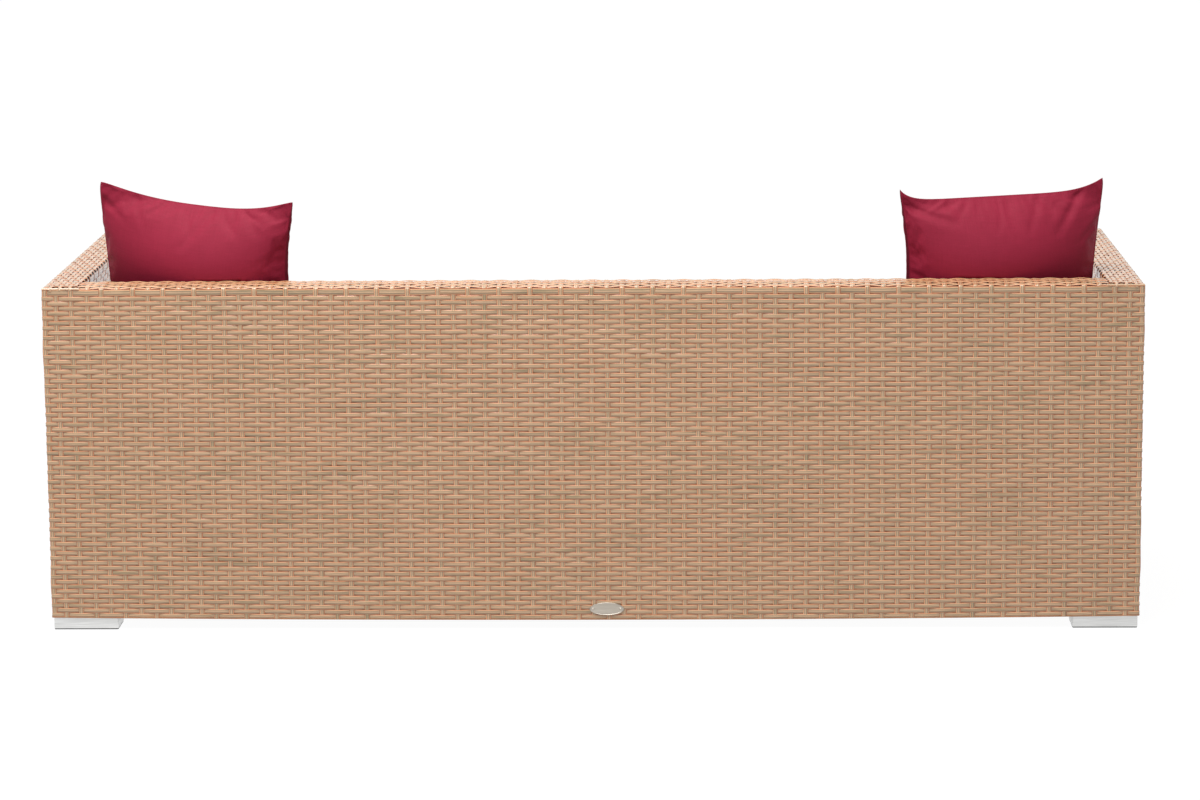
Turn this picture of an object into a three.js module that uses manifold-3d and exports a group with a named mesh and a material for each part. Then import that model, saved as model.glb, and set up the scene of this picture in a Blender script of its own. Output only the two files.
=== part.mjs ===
// Rattan garden sofa: woven walls over a tube frame, flat feet, loose seat cushions and scatter pillows.
// Millimetres, +Z up. The origin is on the floor under the middle of the sofa, which faces -Y.
// Left is the sitter's left, at +X.
import * as THREE from 'three';
import { mergeVertices } from 'three/addons/utils/BufferGeometryUtils.js';
import Module from 'manifold-3d';

const wasm = await Module();
wasm.setup();

// Driving dimensions
const sofaWidth = 2100;
const sofaDepth = 800;
const rimHeight = 672;
const bodyClearance = 27; // floor to the bottom of the woven body
const wallThickness = 72; // back and arms, over both woven skins
const weaveThickness = 5;
const weaveEdgeRadius = 4.5;
const deckHeight = 300; // floor to the top of the woven seat deck
const fitGap = 0.3; // between parts that touch
const cutOverrun = 10; // how far a cutting body runs past what it cuts

// Frame tubes
const tubeWall = 1.5;
const postWall = 2;
const tubeCornerRadius = 2.5;
const topRailHeight = 25;
const lowRailCentreHeight = 177; // the rail across the lower back
const crossBarCount = 3;
const backPostCount = 2;
const apronPostCount = 2;

// Feet and what fastens them
const footLength = 125;
const footDepth = 70;
const footInset = 4; // from the woven body's outer faces
const footWall = 2.5;
const footTopPlate = 3;
const footCornerRadius = 3;
const glideThickness = 1.5;
const glideInset = 0.6;
const glideBossHeight = 5;
const boltRadius = 4;
const boltLength = 30;
const boltHeadRadius = 7.5;
const boltHeadHeight = 5.3;
const plugHeight = 25;

// Oval plate at the bottom of the back
const plateLength = 66;
const plateHeight = 25;
const plateThickness = 1.5;
const plateOffset = 25; // from the middle of the back, towards the sitter's right
const plateEdgeGap = 0.5; // from the body's bottom edge
const rivetRadius = 1.2;
const rivetHeadRadius = 2.6;
const rivetHeadHeight = 1;
const rivetEdgeDistance = 6.5; // from the plate's end to the rivet's centre

// Seat cushions
const seatCushionCount = 3;
const cushionSideGap = 1.5;
const cushionFrontInset = 2;
const cushionHeight = 146; // at the crown
const cushionCrown = 12;
const cushionEdgeRadius = 18;
const cushionCornerRadius = 42;
const cushionSideBulge = 3;
const cushionDrawIn = 5;

// Scatter pillows, nominal 400 x 400. Rises are of the two top corners, over a square pillow's.
const pillowSize = 400;
const pillowThickness = 128;
const pillowSideDrawIn = 16;
const pillowBottomDrawIn = 9;
const pillowLean = THREE.MathUtils.degToRad(11.5);
const fullnessShare = 0.56; // how fast a pillow thickens from its seam
const leftPillow = {
  armClearance: 42, // from the arm to the pillow's outermost point below the rim
  rimClearance: 3.2, // from the back to its rearmost point below the rim
  turn: THREE.MathUtils.degToRad(14.5),
  topDrawIn: 26,
  innerRise: -11,
  outerRise: 21,
};
const rightPillow = {
  armClearance: 11,
  rimClearance: 2.6,
  turn: THREE.MathUtils.degToRad(10.5),
  topDrawIn: 13,
  innerRise: 9,
  outerRise: 21,
};

// How finely the curved forms are cut up
const roundSteps = 12;
const arcSteps = 3;
const ovalSteps = 32;
const pillowSteps = 20;
const cushionCornerSteps = 4;
const cushionSideSteps = 6;
const cushionEdgeSteps = 3;
const cushionCrownSteps = 5;
const crownPower = 4; // how flat a seat cushion's crown is in its middle

// Places that follow from the sizes
const halfWidth = sofaWidth / 2;
const rearY = sofaDepth / 2;
const frontY = -rearY;
const wallCavity = wallThickness - 2 * weaveThickness;
const postWidth = wallCavity - 2 * fitGap; // fills a wall's cavity
const tubeSize = (postWidth - fitGap) / 2; // two tubes side by side fill it too
const skinX = halfWidth - weaveThickness; // inside of an arm's outer skin
const skinRearY = rearY - weaveThickness;
const skinFrontY = frontY + weaveThickness;
const skinTop = rimHeight - weaveThickness - fitGap;
const armInnerX = halfWidth - wallThickness; // the face of an arm that the cushions meet
const backInnerY = rearY - wallThickness;
const deckEdgeX = armInnerX + weaveThickness;
const deckRearY = backInnerY + weaveThickness;
const cavityX = skinX - fitGap; // outermost reach of the frame
const cavityRearY = skinRearY - fitGap;
const cavityFrontY = skinFrontY + fitGap;
const deckBottom = deckHeight - weaveThickness;
const seatRailTop = deckBottom - fitGap;
const seatRailBottom = seatRailTop - tubeSize;
const baseRailTop = bodyClearance + tubeSize;
const topRailTop = skinTop;
const topRailBottom = topRailTop - topRailHeight;
const postTop = topRailBottom - fitGap;
const innerSkinBottom = deckHeight + fitGap;
const postInnerX = cavityX - postWidth;
const postRearY = cavityRearY - postWidth;
const postFrontY = cavityFrontY + postWidth;
const betweenPostsX = postInnerX - fitGap;
const cushionBottom = deckHeight + fitGap;
const cushionPitch = (2 * armInnerX) / seatCushionCount;
const cushionWidth = cushionPitch - 2 * cushionSideGap;
const cushionFrontY = frontY + cushionFrontInset;
const cushionRearY = backInnerY - cushionSideGap;
const cushionDepth = cushionRearY - cushionFrontY;
const cushionCentreY = (cushionFrontY + cushionRearY) / 2;
const crownInset = cushionSideBulge + cushionEdgeRadius; // from the cushion's sides to its crown
const plateZ = bodyClearance + plateEdgeGap + plateHeight / 2;
const rivetX = plateLength / 2 - rivetEdgeDistance; // from the plate's middle

// Finishes
const weave = new THREE.MeshStandardMaterial({ color: 0xc79f78, roughness: 0.6, metalness: 0 });
const frameCoat = new THREE.MeshStandardMaterial({ color: 0x8a745c, roughness: 0.5, metalness: 0.1 });
const footMetal = new THREE.MeshStandardMaterial({ color: 0xcfd1d4, roughness: 0.35, metalness: 1 });
const plateMetal = new THREE.MeshStandardMaterial({ color: 0xb9b3a8, roughness: 0.35, metalness: 1 });
const zincSteel = new THREE.MeshStandardMaterial({ color: 0xa9adb2, roughness: 0.4, metalness: 1 });
const castPlug = new THREE.MeshStandardMaterial({ color: 0x9a9ea3, roughness: 0.6, metalness: 1 });
const glidePlastic = new THREE.MeshStandardMaterial({ color: 0x1d1d1f, roughness: 0.7, metalness: 0 });
const rubyCloth = new THREE.MeshStandardMaterial({ color: 0xa02a48, roughness: 0.85, metalness: 0 });

const sofa = new THREE.Group();
const sides = [
  ['left', 1],
  ['right', -1],
];

function addMesh(name, geometry, material, parent = sofa) {
  const mesh = new THREE.Mesh(geometry, material);
  mesh.name = name;
  parent.add(mesh);
  return mesh;
}

// Booleans

function toSolid(geometry) {
  const bare = geometry.clone();
  bare.deleteAttribute('normal');
  bare.deleteAttribute('uv');
  const merged = mergeVertices(bare);
  const mesh = new wasm.Mesh({
    numProp: 3,
    vertProperties: merged.attributes.position.array,
    triVerts: merged.index.array,
  });
  return new wasm.Manifold(mesh);
}

function toGeometry(solid) {
  const mesh = solid.getMesh();
  const geometry = new THREE.BufferGeometry();
  geometry.setAttribute('position', new THREE.BufferAttribute(Float32Array.from(mesh.vertProperties), 3));
  geometry.setIndex(new THREE.BufferAttribute(Uint32Array.from(mesh.triVerts), 1));
  geometry.computeVertexNormals();
  return geometry;
}

// Shapes

// An outline between two corners whose radii are given in the order
// low-low, high-low, high-high, low-high. A radius of zero leaves the corner sharp.
function roundedOutline(x0, y0, x1, y1, radii) {
  const [a, b, c, d] = radii;
  const quarter = Math.PI / 2;
  const shape = new THREE.Shape();
  shape.moveTo(x0 + a, y0);
  shape.lineTo(x1 - b, y0);
  if (b > 0) shape.absarc(x1 - b, y0 + b, b, -quarter, 0, false);
  shape.lineTo(x1, y1 - c);
  if (c > 0) shape.absarc(x1 - c, y1 - c, c, 0, quarter, false);
  shape.lineTo(x0 + d, y1);
  if (d > 0) shape.absarc(x0 + d, y1 - d, d, quarter, 2 * quarter, false);
  shape.lineTo(x0, y0 + a);
  if (a > 0) shape.absarc(x0 + a, y0 + a, a, 2 * quarter, 3 * quarter, false);
  return shape;
}

function evenOutline(width, height, radius) {
  return roundedOutline(-width / 2, -height / 2, width / 2, height / 2, Array(4).fill(radius));
}

function extrude(shape, depth, curveSegments = arcSteps) {
  return new THREE.ExtrudeGeometry(shape, { depth, bevelEnabled: false, curveSegments });
}

// A woven panel between two heights with a plan outline.
function addPlate(name, outline, low, high) {
  addMesh(name, extrude(outline, high - low), weave).position.z = low;
}

// A woven panel that fills the box between two corners.
function addBox(name, low, high) {
  const size = high.map((value, axis) => value - low[axis]);
  const centre = high.map((value, axis) => (value + low[axis]) / 2);
  addMesh(name, new THREE.BoxGeometry(...size), weave).position.set(...centre);
}

// A rectangular tube that fills the box between two corners and is open at both ends of its axis.
function addTube(name, axis, low, high, wall = tubeWall) {
  const size = high.map((value, index) => value - low[index]);
  const centre = high.map((value, index) => (value + low[index]) / 2);
  const [sectionWidth, sectionHeight, length] = {
    x: [size[2], size[1], size[0]],
    y: [size[0], size[2], size[1]],
    z: [size[0], size[1], size[2]],
  }[axis];
  const section = evenOutline(sectionWidth, sectionHeight, tubeCornerRadius);
  const bore = evenOutline(sectionWidth - 2 * wall, sectionHeight - 2 * wall, tubeCornerRadius - wall / 2);
  section.holes.push(bore);
  const geometry = extrude(section, length, 2);
  geometry.translate(0, 0, -length / 2);
  if (axis === 'x') geometry.rotateY(Math.PI / 2);
  if (axis === 'y') geometry.rotateX(-Math.PI / 2);
  addMesh(name, geometry, frameCoat).position.set(...centre);
}

// A pair of X limits given from the middle outward, mirrored to a side and put in rising order.
function across(side, near, far) {
  return side > 0 ? [near, far] : [-far, -near];
}

// Places of a row of pieces spread evenly between two ends.
function spread(count, low, high) {
  return Array.from({ length: count }, (_, index) => low + ((high - low) * (index + 1)) / (count + 1));
}

// Frame

function addFrame() {
  addTube('top_rail_back', 'x', [-cavityX, postRearY, topRailBottom], [cavityX, cavityRearY, topRailTop]);
  for (const [label, side] of sides) {
    const [x0, x1] = across(side, postInnerX, cavityX);
    const topHigh = [x1, postRearY - fitGap, topRailTop];
    addTube(`top_rail_${label}`, 'y', [x0, cavityFrontY, topRailBottom], topHigh);
    const rearHigh = [x1, cavityRearY, postTop];
    const frontHigh = [x1, postFrontY, postTop];
    addTube(`corner_post_rear_${label}`, 'z', [x0, postRearY, bodyClearance], rearHigh, postWall);
    addTube(`corner_post_front_${label}`, 'z', [x0, cavityFrontY, bodyClearance], frontHigh, postWall);
    const [b0, b1] = across(side, cavityX - tubeSize, cavityX);
    const baseLow = [b0, postFrontY + fitGap, bodyClearance];
    addTube(`base_rail_${label}`, 'y', baseLow, [b1, postRearY - fitGap, baseRailTop]);
  }

  // Rails of the outer layer, close behind the back's skin and the apron's skin
  const outerLayerY = cavityRearY - tubeSize;
  const apronLayerY = cavityFrontY + tubeSize;
  const addRearRail = (name, low, high) => {
    addTube(name, 'x', [-betweenPostsX, outerLayerY, low], [betweenPostsX, cavityRearY, high]);
  };
  const addFrontRail = (name, low, high) => {
    addTube(name, 'x', [-betweenPostsX, cavityFrontY, low], [betweenPostsX, apronLayerY, high]);
  };
  const lowRailBottom = lowRailCentreHeight - tubeSize / 2;
  addRearRail('base_rail_rear', bodyClearance, baseRailTop);
  addRearRail('low_rail_back', lowRailBottom, lowRailBottom + tubeSize);
  addFrontRail('base_rail_front', bodyClearance, baseRailTop);

  // Posts of the inner layer, in front of those rails
  spread(backPostCount, betweenPostsX, -betweenPostsX).forEach((x, index) => {
    const low = [x - tubeSize / 2, postRearY, bodyClearance];
    const high = [x + tubeSize / 2, postRearY + tubeSize, postTop];
    addTube(`back_post_${index + 1}`, 'z', low, high);
  });

  // Seat frame
  const seatRearY = postRearY - fitGap;
  const seatRearInnerY = seatRearY - tubeSize;
  const seatRearHigh = [cavityX, seatRearY, seatRailTop];
  addTube('seat_rail_rear', 'x', [-cavityX, seatRearInnerY, seatRailBottom], seatRearHigh);
  addFrontRail('seat_rail_front', seatRailBottom, seatRailTop);
  const barFrontY = apronLayerY + fitGap;
  const barRearY = seatRearInnerY - fitGap;
  for (const [label, side] of sides) {
    const [x0, x1] = across(side, betweenPostsX - tubeSize, betweenPostsX);
    addTube(`seat_rail_${label}`, 'y', [x0, barFrontY, seatRailBottom], [x1, barRearY, seatRailTop]);
  }
  spread(crossBarCount, betweenPostsX, -betweenPostsX).forEach((x, index) => {
    const low = [x - tubeSize / 2, barFrontY, seatRailBottom];
    const high = [x + tubeSize / 2, barRearY, seatRailTop];
    addTube(`seat_cross_bar_${index + 1}`, 'y', low, high);
  });
  spread(apronPostCount, betweenPostsX, -betweenPostsX).forEach((x, index) => {
    const low = [x - tubeSize / 2, cavityFrontY, baseRailTop + fitGap];
    const high = [x + tubeSize / 2, apronLayerY, seatRailBottom - fitGap];
    addTube(`apron_post_${index + 1}`, 'z', low, high);
  });
}

// Woven skins

// A woven rim over the top of a wall: a bar with both long edges rounded, cut to a mitred plan.
// The bar's section is drawn across the wall and the bar runs along X or Y.
function rimGeometry(alongX, centreAcross, plan) {
  const half = wallThickness / 2;
  const radii = [0, 0, weaveEdgeRadius, weaveEdgeRadius];
  const section = roundedOutline(-half, 0, half, weaveThickness, radii);
  const length = sofaWidth + 2 * cutOverrun;
  const bar = extrude(section, length);
  bar.translate(0, 0, -length / 2);
  bar.rotateX(Math.PI / 2);
  if (alongX) bar.rotateZ(Math.PI / 2);
  bar.translate(alongX ? 0 : centreAcross, alongX ? centreAcross : 0, 0);
  const planShape = new THREE.Shape(plan.map(([x, y]) => new THREE.Vector2(x, y)));
  const cutter = extrude(planShape, weaveThickness + 2 * cutOverrun);
  cutter.translate(0, 0, -cutOverrun);
  return toGeometry(toSolid(bar).intersect(toSolid(cutter)));
}

function addWeave() {
  const rimBottom = rimHeight - weaveThickness;
  const mitreGap = fitGap * Math.SQRT1_2;

  // Back: outer skin with its two vertical edges rounded and the plate's rivet holes through it
  const backRadii = [0, 0, weaveEdgeRadius, weaveEdgeRadius];
  const backOutline = roundedOutline(-halfWidth, skinRearY, halfWidth, rearY, backRadii);
  const backSkin = extrude(backOutline, skinTop - bodyClearance);
  backSkin.translate(0, 0, bodyClearance);
  let backSolid = toSolid(backSkin);
  const holeRadius = rivetRadius + fitGap;
  for (const side of [1, -1]) {
    const holeLength = weaveThickness + 2 * cutOverrun;
    const hole = new THREE.CylinderGeometry(holeRadius, holeRadius, holeLength, roundSteps);
    hole.translate(-plateOffset + side * rivetX, rearY - weaveThickness / 2, plateZ);
    backSolid = backSolid.subtract(toSolid(hole));
  }
  addMesh('weave_back_outer', toGeometry(backSolid), weave);
  const innerX = armInnerX - fitGap;
  addBox('weave_back_inner', [-innerX, backInnerY, innerSkinBottom], [innerX, deckRearY, skinTop]);
  const backRimPlan = [
    [-halfWidth + mitreGap, rearY + cutOverrun],
    [-halfWidth + mitreGap, rearY],
    [-armInnerX + mitreGap, backInnerY],
    [armInnerX - mitreGap, backInnerY],
    [halfWidth - mitreGap, rearY],
    [halfWidth - mitreGap, rearY + cutOverrun],
  ];
  const backRim = rimGeometry(true, rearY - wallThickness / 2, backRimPlan.reverse());
  addMesh('weave_back_rim', backRim, weave).position.z = rimBottom;

  // Arms
  for (const [label, side] of sides) {
    // Only the front corners are rounded, and an outline takes them first
    const outerRadii = side > 0 ? [0, weaveEdgeRadius, 0, 0] : [weaveEdgeRadius, 0, 0, 0];
    const innerRadii = side > 0 ? [weaveEdgeRadius, 0, 0, 0] : [0, weaveEdgeRadius, 0, 0];
    const [outer0, outer1] = across(side, skinX, halfWidth);
    const outerOutline = roundedOutline(outer0, frontY, outer1, skinRearY - fitGap, outerRadii);
    addPlate(`weave_arm_${label}_outer`, outerOutline, bodyClearance, skinTop);
    const [inner0, inner1] = across(side, armInnerX, deckEdgeX);
    const innerOutline = roundedOutline(inner0, frontY, inner1, deckRearY, innerRadii);
    addPlate(`weave_arm_${label}_inner`, innerOutline, innerSkinBottom, skinTop);
    const [front0, front1] = across(side, deckEdgeX + fitGap, skinX - fitGap);
    addBox(`weave_arm_${label}_front`, [front0, frontY, bodyClearance], [front1, skinFrontY, skinTop]);
    const armRimPlan = [
      [side * armInnerX, frontY],
      [side * halfWidth, frontY],
      [side * halfWidth, rearY - mitreGap],
      [side * armInnerX, backInnerY - mitreGap],
    ];
    if (side < 0) armRimPlan.reverse();
    const armRim = rimGeometry(false, side * (halfWidth - wallThickness / 2), armRimPlan);
    addMesh(`weave_arm_${label}_rim`, armRim, weave).position.z = rimBottom;
  }

  const apronHigh = [deckEdgeX, skinFrontY, deckBottom - fitGap];
  addBox('weave_front_apron', [-deckEdgeX, frontY, bodyClearance], apronHigh);
  addBox('weave_seat_deck', [-deckEdgeX, frontY, deckBottom], [deckEdgeX, deckRearY, deckHeight]);
}

// Feet

// A foot is a box open at the bottom, with a bolt hole whose place is given from the foot's centre.
function footGeometry(holeX, holeY, height) {
  const outside = extrude(evenOutline(footLength, footDepth, footCornerRadius), height);
  const cavityRadius = footCornerRadius - footWall / 2;
  const cavity = evenOutline(footLength - 2 * footWall, footDepth - 2 * footWall, cavityRadius);
  const hollow = extrude(cavity, height - footTopPlate + cutOverrun);
  hollow.translate(0, 0, -cutOverrun);
  const holeRadius = boltRadius + fitGap;
  const hole = new THREE.CylinderGeometry(holeRadius, holeRadius, height + 2 * cutOverrun, roundSteps);
  hole.rotateX(Math.PI / 2);
  hole.translate(holeX, holeY, height / 2);
  return toGeometry(toSolid(outside).subtract(toSolid(hollow)).subtract(toSolid(hole)));
}

// A glide is a sole as wide as the foot, with a boss that plugs the foot's open bottom.
function glideGeometry() {
  const soleRadius = footCornerRadius - glideInset;
  const sole = evenOutline(footLength - 2 * glideInset, footDepth - 2 * glideInset, soleRadius);
  const play = footWall + fitGap;
  const boss = evenOutline(footLength - 2 * play, footDepth - 2 * play, footCornerRadius - footWall / 2);
  const soleSolid = toSolid(extrude(sole, glideThickness));
  return toGeometry(soleSolid.add(toSolid(extrude(boss, glideThickness + glideBossHeight))));
}

// A hexagon bolt, head down, whose shank starts in the middle of its head.
function boltGeometry() {
  const head = new THREE.CylinderGeometry(boltHeadRadius, boltHeadRadius, boltHeadHeight, 6);
  head.rotateX(Math.PI / 2);
  head.translate(0, 0, boltHeadHeight / 2);
  const shankBottom = boltHeadHeight / 2;
  const shankTop = boltHeadHeight + boltLength;
  const shank = new THREE.CylinderGeometry(boltRadius, boltRadius, shankTop - shankBottom, roundSteps);
  shank.rotateX(Math.PI / 2);
  shank.translate(0, 0, (shankTop + shankBottom) / 2);
  return toGeometry(toSolid(head).add(toSolid(shank)));
}

// A threaded plug fills the bottom of a corner post.
function plugGeometry() {
  const width = postWidth - 2 * postWall - 2 * fitGap;
  const block = extrude(evenOutline(width, width, tubeCornerRadius - postWall / 2), plugHeight, 2);
  const holeRadius = boltRadius + fitGap;
  const hole = new THREE.CylinderGeometry(holeRadius, holeRadius, plugHeight + 2 * cutOverrun, roundSteps);
  hole.rotateX(Math.PI / 2);
  hole.translate(0, 0, plugHeight / 2);
  return toGeometry(toSolid(block).subtract(toSolid(hole)));
}

function addFeet() {
  const footBottom = glideThickness + fitGap;
  const footTop = bodyClearance - fitGap;
  const postX = cavityX - postWidth / 2;
  const postY = cavityRearY - postWidth / 2;
  const footX = halfWidth - footInset - footLength / 2;
  const footY = rearY - footInset - footDepth / 2;
  const boltBottom = footTop - footTopPlate - fitGap - boltHeadHeight;
  for (const [corner, sideX, sideY] of [
    ['rear_left', 1, 1],
    ['rear_right', -1, 1],
    ['front_left', 1, -1],
    ['front_right', -1, -1],
  ]) {
    const holeX = sideX * (postX - footX);
    const holeY = sideY * (postY - footY);
    const foot = addMesh(`foot_${corner}`, footGeometry(holeX, holeY, footTop - footBottom), footMetal);
    foot.position.set(sideX * footX, sideY * footY, footBottom);
    const glide = addMesh(`glide_${corner}`, glideGeometry(), glidePlastic);
    glide.position.set(sideX * footX, sideY * footY, 0);
    const bolt = addMesh(`foot_bolt_${corner}`, boltGeometry(), zincSteel);
    bolt.position.set(sideX * postX, sideY * postY, boltBottom);
    const plug = addMesh(`post_plug_${corner}`, plugGeometry(), castPlug);
    plug.position.set(sideX * postX, sideY * postY, bodyClearance);
  }
}

// Oval plate

function addOvalPlate() {
  const oval = new THREE.Shape();
  oval.absellipse(0, 0, plateLength / 2, plateHeight / 2, 0, 2 * Math.PI, false);
  for (const side of [1, -1]) {
    const hole = new THREE.Path();
    hole.absarc(side * rivetX, 0, rivetRadius + fitGap, 0, 2 * Math.PI, true);
    oval.holes.push(hole);
  }
  const plate = extrude(oval, plateThickness, ovalSteps / 2);
  plate.rotateX(Math.PI / 2);
  const plateFront = rearY + fitGap + plateThickness;
  addMesh('oval_plate', plate, plateMetal).position.set(-plateOffset, plateFront, plateZ);

  const shankLength = plateThickness + weaveThickness + fitGap;
  const profile = [
    [0, -shankLength],
    [rivetRadius, -shankLength],
    [rivetRadius, 0],
    [rivetHeadRadius, 0],
    [rivetHeadRadius * Math.SQRT1_2, rivetHeadHeight * Math.SQRT1_2],
    [0, rivetHeadHeight],
  ].map(([radius, height]) => new THREE.Vector2(radius, height));
  for (const [label, side] of sides) {
    const rivet = addMesh(`plate_rivet_${label}`, new THREE.LatheGeometry(profile, roundSteps), plateMetal);
    rivet.position.set(-plateOffset + side * rivetX, plateFront + fitGap, plateZ);
  }
}

// Seat cushions

// The plan outline of a cushion at one ring, as points on a rounded rectangle whose sides draw in
// between the corners. The outline is pulled in by an inset and then shrunk by a share.
function cushionRing(width, depth, inset, shrinkShare, height) {
  const halfX = width / 2;
  const halfY = depth / 2;
  const points = [];
  const corners = [
    [1, -1],
    [1, 1],
    [-1, 1],
    [-1, -1],
  ];
  corners.forEach(([signX, signY], corner) => {
    const centreX = signX * (halfX - cushionCornerRadius);
    const centreY = signY * (halfY - cushionCornerRadius);
    const startAngle = (corner - 1) * (Math.PI / 2);
    for (let step = 0; step <= cushionCornerSteps; step += 1) {
      const angle = startAngle + (step / cushionCornerSteps) * (Math.PI / 2);
      points.push([
        centreX + cushionCornerRadius * Math.cos(angle),
        centreY + cushionCornerRadius * Math.sin(angle),
      ]);
    }
    const [nextX, nextY] = corners[(corner + 1) % corners.length];
    const from = points[points.length - 1];
    const nextAngle = startAngle + Math.PI / 2;
    const to = [
      nextX * (halfX - cushionCornerRadius) + cushionCornerRadius * Math.cos(nextAngle),
      nextY * (halfY - cushionCornerRadius) + cushionCornerRadius * Math.sin(nextAngle),
    ];
    for (let step = 1; step < cushionSideSteps; step += 1) {
      const share = step / cushionSideSteps;
      points.push([from[0] + (to[0] - from[0]) * share, from[1] + (to[1] - from[1]) * share]);
    }
  });
  return points.map(([x, y]) => {
    const alongX = x / halfX;
    const alongY = y / halfY;
    const pullX = inset + cushionDrawIn * (1 - alongY * alongY);
    const pullY = inset + cushionDrawIn * (1 - alongX * alongX);
    return [
      x * (1 - pullX / halfX) * (1 - shrinkShare),
      y * (1 - pullY / halfY) * (1 - shrinkShare),
      height,
    ];
  });
}

function cushionCentreX(place) {
  return armInnerX - cushionPitch * (place + 0.5);
}

// The crown's height over the cushion's bottom, from a share of 0 at its edge to 1 in its middle.
function crownHeight(share) {
  return cushionHeight - cushionCrown * (1 - share) ** crownPower;
}

// Rings from the flat bottom round the lower edge, up the bulging side, round the upper edge and in
// over the crown, closed by a fan at the bottom and at the top.
function cushionGeometry() {
  const width = cushionWidth;
  const depth = cushionDepth;
  const sideTop = cushionHeight - cushionCrown;
  const rings = [];
  for (let step = 0; step <= cushionEdgeSteps; step += 1) {
    const angle = (step / cushionEdgeSteps) * (Math.PI / 2);
    const inset = cushionSideBulge + cushionEdgeRadius * (1 - Math.sin(angle));
    rings.push(cushionRing(width, depth, inset, 0, cushionEdgeRadius * (1 - Math.cos(angle))));
  }
  rings.push(cushionRing(width, depth, 0, 0, sideTop / 2));
  for (let step = cushionEdgeSteps; step >= 0; step -= 1) {
    const angle = (step / cushionEdgeSteps) * (Math.PI / 2);
    const inset = cushionSideBulge + cushionEdgeRadius * (1 - Math.sin(angle));
    rings.push(cushionRing(width, depth, inset, 0, sideTop - cushionEdgeRadius * (1 - Math.cos(angle))));
  }
  for (let step = 1; step < cushionCrownSteps; step += 1) {
    const share = step / cushionCrownSteps;
    rings.push(cushionRing(width, depth, crownInset, share, crownHeight(share)));
  }
  const around = rings[0].length;
  const positions = rings.flat(2);
  positions.push(0, 0, 0, 0, 0, cushionHeight);
  const bottomCentre = rings.length * around;
  const topCentre = bottomCentre + 1;
  const index = [];
  for (let point = 0; point < around; point += 1) {
    const next = (point + 1) % around;
    index.push(bottomCentre, next, point);
    for (let ring = 0; ring < rings.length - 1; ring += 1) {
      const low = ring * around;
      const high = low + around;
      index.push(low + point, low + next, high + next, low + point, high + next, high + point);
    }
    const last = (rings.length - 1) * around;
    index.push(topCentre, last + point, last + next);
  }
  return indexedGeometry(positions, index);
}

function indexedGeometry(positions, index) {
  const geometry = new THREE.BufferGeometry();
  geometry.setAttribute('position', new THREE.Float32BufferAttribute(positions, 3));
  geometry.setIndex(index);
  geometry.computeVertexNormals();
  return geometry;
}

function addSeatCushions() {
  const labels = ['left', 'middle', 'right'];
  for (let place = 0; place < seatCushionCount; place += 1) {
    const name = `seat_cushion_${labels[place] ?? place + 1}`;
    const cushion = addMesh(name, cushionGeometry(), rubyCloth);
    cushion.position.set(cushionCentreX(place), cushionCentreY, cushionBottom);
  }
}

// Scatter pillows

// Two crowned faces that meet in a seam. With u and v from -1 to 1 across the pillow, the thickness is
// the full thickness times ((1 - u^2)(1 - v^2)) to the power of the fullness, the seam draws in between
// the corners as 1 minus the square of the place along it, and the two top corners rise by their own
// amounts. The local frame is X outward, Y to the rear and Z up.
function pillowGeometry({ topDrawIn, innerRise, outerRise }, side) {
  const half = pillowSize / 2;
  const steps = pillowSteps;
  const places = Array.from({ length: steps + 1 }, (_, step) => -Math.cos((Math.PI * step) / steps));
  places[steps / 2] = 0;
  const positions = [];
  const pointAt = (u, v, face) => {
    const upper = (1 + v) / 2;
    const edgeDrawIn = v > 0 ? topDrawIn : pillowBottomDrawIn;
    const rise = (innerRise * (1 - u)) / 2 + (outerRise * (1 + u)) / 2;
    const x = half * u - pillowSideDrawIn * u * (1 - v * v);
    const z = half * v - edgeDrawIn * v * (1 - u * u) + rise * upper * upper;
    const swell = ((1 - u * u) * (1 - v * v)) ** fullnessShare;
    return [side * x, (face * pillowThickness * swell) / 2, z];
  };
  const gridOf = (face, seam) =>
    places.map((v, row) =>
      places.map((u, column) => {
        const onSeam = row === 0 || row === steps || column === 0 || column === steps;
        if (onSeam && seam) return seam[row][column];
        positions.push(...pointAt(u, v, onSeam ? 0 : face));
        return positions.length / 3 - 1;
      }),
    );
  const rear = gridOf(1);
  const front = gridOf(-1, rear);
  const index = [];
  // Corners run a, b, c, d round a cell, which is cut from the corner nearest the pillow's own corner.
  const addCell = (a, b, c, d, turned) => {
    if (turned) index.push(a, b, d, b, c, d);
    else index.push(a, b, c, a, c, d);
  };
  for (const grid of [rear, front]) {
    const flipped = (grid === rear) === side > 0;
    for (let row = 0; row < steps; row += 1) {
      for (let column = 0; column < steps; column += 1) {
        const a = grid[row][column];
        const b = grid[row][column + 1];
        const c = grid[row + 1][column + 1];
        const d = grid[row + 1][column];
        const turned = row < steps / 2 !== column < steps / 2;
        if (flipped) addCell(a, d, c, b, turned);
        else addCell(a, b, c, d, turned);
      }
    }
  }
  return indexedGeometry(positions, index);
}

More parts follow.
